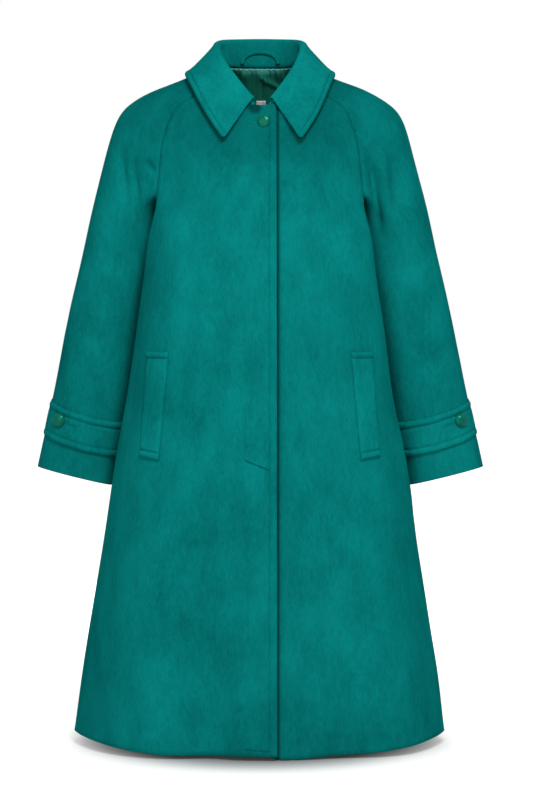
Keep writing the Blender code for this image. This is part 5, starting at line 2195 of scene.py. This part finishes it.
@dataclass
class BackLining:
    """Satin lining that shows through the neck, gathered at its top, with a bare label."""

    end: float = -0.30
    label_size: Pair = (0.0155, 0.026)
    label_x: float = 0.0015
    label_top: float = -0.0505
    label_wall: float = 0.0007
    label_round: float = 0.0001
    label_steps: tuple[int, int] = (27, 14)
    label_from: float = -0.02
    pucker: float = 0.0034
    pucker_fall: float = 0.022
    pucker_pitch: float = 0.0085
    fold: float = 0.0048
    fold_pitch: float = 0.031
    fold_fall: float = 0.12
    slack_size: float = 0.0034
    seam_width: float = 0.0022
    slack: tuple[Pair, Pair] = ((0.003, -0.012), (0.031, -0.027))

    def build(self, surface: Surface) -> None:
        """Add the lining and the label.

        Args:
            surface: the coat.
        """
        cells = surface.part("back")
        cells = cells[surface.points[cells][:, :, 2].mean(axis=1) > self.end]
        face = Surface(surface.points.copy(), surface.cells, surface.names)
        outer = -(CLOTH + SEAM_GAP)
        inner = outer - LINING - self.gathers(face.points)
        points, faces = wall(face, cells, outer, inner)
        show_piece("lining_back_satin", points, faces, SATIN, Slot.SATIN, "lining_back")
        inside = face.points + face.normals * inner[:, None]
        self.build_label(tree_of(inside, cells))

    def gathers(self, points: Array) -> Array:
        """Return how far the gathered lining stands off at each point.

        Args:
            points: of the lining.

        Returns:
            The distances.
        """
        x, _, z = points.T
        top = np.interp(np.abs(x), (0.0, 0.056), (0.001, 0.002))
        drop = np.maximum(top - z, 0.0)
        turns = x * 2.0 * math.pi
        wave = 0.5 + 0.5 * np.sin(turns / self.pucker_pitch + 1.3 * np.sin(x * 130.0) + z * 40.0)
        puckers = self.pucker * np.exp(-drop / self.pucker_fall) * wave ** 2
        sway = 0.5 + 0.5 * np.sin(turns / self.fold_pitch + 0.9 * np.sin(z * 60.0) + 0.8)
        folds = self.fold * sway ** 1.5 * smooth_step(drop / 0.012) * np.exp(-drop / self.fold_fall)
        start, end = (np.array(p) for p in self.slack)
        place = np.stack([x, z], axis=1) - start
        share = np.clip(place @ (end - start) / np.sum((end - start) ** 2), 0.0, 1.0)
        gap = np.linalg.norm(place - share[:, None] * (end - start), axis=1)
        seam = 1.0 - 0.9 * bell((x - start[0]) / self.seam_width)
        return (puckers + folds) * seam + self.slack_size * bell(gap / self.slack_size)

    def build_label(self, tree: BVHTree) -> None:
        """Add the bare label.

        Args:
            tree: faces of the lining.
        """
        width, length = self.label_size
        columns, rows = self.label_steps
        heights = np.linspace(self.label_top, self.label_top - length, rows)
        across = self.label_x + np.linspace(-width / 2.0, width / 2.0, columns)
        grid = np.array([[tree.ray_cast(Vector((x, self.label_from, z)), AHEAD)[0] for x in across]
                         for z in heights])
        face = Surface.of_grid(grid)
        low = 2.0 * SEAM_GAP
        points, faces = wall(face, face.cells, low + self.label_wall, low, self.label_round, 0.0)
        show_piece("label_cloth", points, faces, LABEL, Slot.LABEL, "label")


SOFT_BOXES = (
    SoftBox("key_box", (0.35, -2.2, 1.45), 1.1, 48.0),
    SoftBox("fill_box", (-0.5, -3.2, 0.3), 2.4, 18.0),
    SoftBox("rear_box", (-0.5, 3.0, 0.1), 2.0, 26.0),
)


@dataclass
class Studio:
    """Pale floor, soft light and the camera."""

    picture: tuple[int, int] = (533, 800)
    scale: float = 0.00165
    distance: float = 3.6
    camera_x: float = 0.0107
    camera_z: float = -0.558
    floor_reach: float = 60.0
    surround: float = 0.28
    aim: Point = (0.0, 0.0, -0.45)
    floor_gap: float = 0.001
    sensor: float = 36.0

    def build(self) -> None:
        """Add floor, lights and camera."""
        self.add_floor()
        self.add_lights()
        self.add_camera()

    def add_floor(self) -> None:
        """Add the floor just below the hem."""
        mesh = bpy.data.meshes.new("studio_floor")
        reach, low = self.floor_reach, CAD_BOX[0].z - self.floor_gap
        square = ((-reach, -reach), (reach, -reach), (reach, reach), (-reach, reach))
        mesh.from_pydata([(x, y, low) for x, y in square], [], [(0, 1, 2, 3)])
        mesh.materials.append(FloorFinish().material())
        floor = bpy.data.objects.new("studio_floor", mesh)
        bpy.context.scene.collection.objects.link(floor)

    def add_lights(self) -> None:
        """Add the soft boxes and the pale surround."""
        for row in SOFT_BOXES:
            light = bpy.data.lights.new(row.name, "AREA")
            light.shape = "DISK"
            light.size = row.size
            light.energy = row.power
            box = bpy.data.objects.new(row.name, light)
            box.location = row.place
            heading = Vector(self.aim) - Vector(row.place)
            box.rotation_euler = heading.to_track_quat("-Z", "Y").to_euler()
            bpy.context.scene.collection.objects.link(box)
        world = bpy.data.worlds.new("pale_room")
        world.use_nodes = True
        pen = NodePen(world.node_tree)
        seen = pen.add("ShaderNodeLightPath").outputs["Is Camera Ray"]
        lit = (self.surround, self.surround, self.surround, 1.0)
        pale = pen.mixed(seen, lit, (1.0, 1.0, 1.0, 1.0))
        pen.tree.links.new(pale, world.node_tree.nodes["Background"].inputs["Color"])
        bpy.context.scene.world = world
        bpy.context.scene.view_settings.view_transform = "Standard"

    def add_camera(self) -> None:
        """Add the camera, level and square to the front."""
        lens = bpy.data.cameras.new("camera")
        lens.sensor_width = self.sensor
        lens.lens = self.sensor * self.distance / (max(self.picture) * self.scale)
        camera = bpy.data.objects.new("camera", lens)
        camera.location = (self.camera_x, -self.distance, self.camera_z)
        camera.rotation_euler = (math.pi / 2.0, 0.0, 0.0)
        bpy.context.scene.collection.objects.link(camera)
        bpy.context.scene.camera = camera


def main() -> None:
    """Build the coat and its studio."""
    logging.basicConfig(level=logging.INFO, format="%(message)s")
    surface = CoatForm().surface()
    drape = Drape()
    drape.fold(surface)
    plain = Surface(surface.points.copy(), surface.cells, surface.names)
    drape.sew(surface)
    panels = CoatPanels()
    skins = panels.build(surface)
    panels.stitch_front()
    collar = Collar()
    grid = collar.build(plain, skins)
    for side in Side:
        PocketWelt(side).build(skins[f"front_{side.label}"])
        Button(f"button_cuff_{side.label}", CUFF_DOME).build(*CuffStrap(side).build(skins))
    NeckClosure().build(skins["front_right"])
    HangerLoop().build(grid, collar.stand_steps + 2, collar.wall)
    BackLining().build(surface)
    Studio().build()


if __name__ == "__main__":
    main()
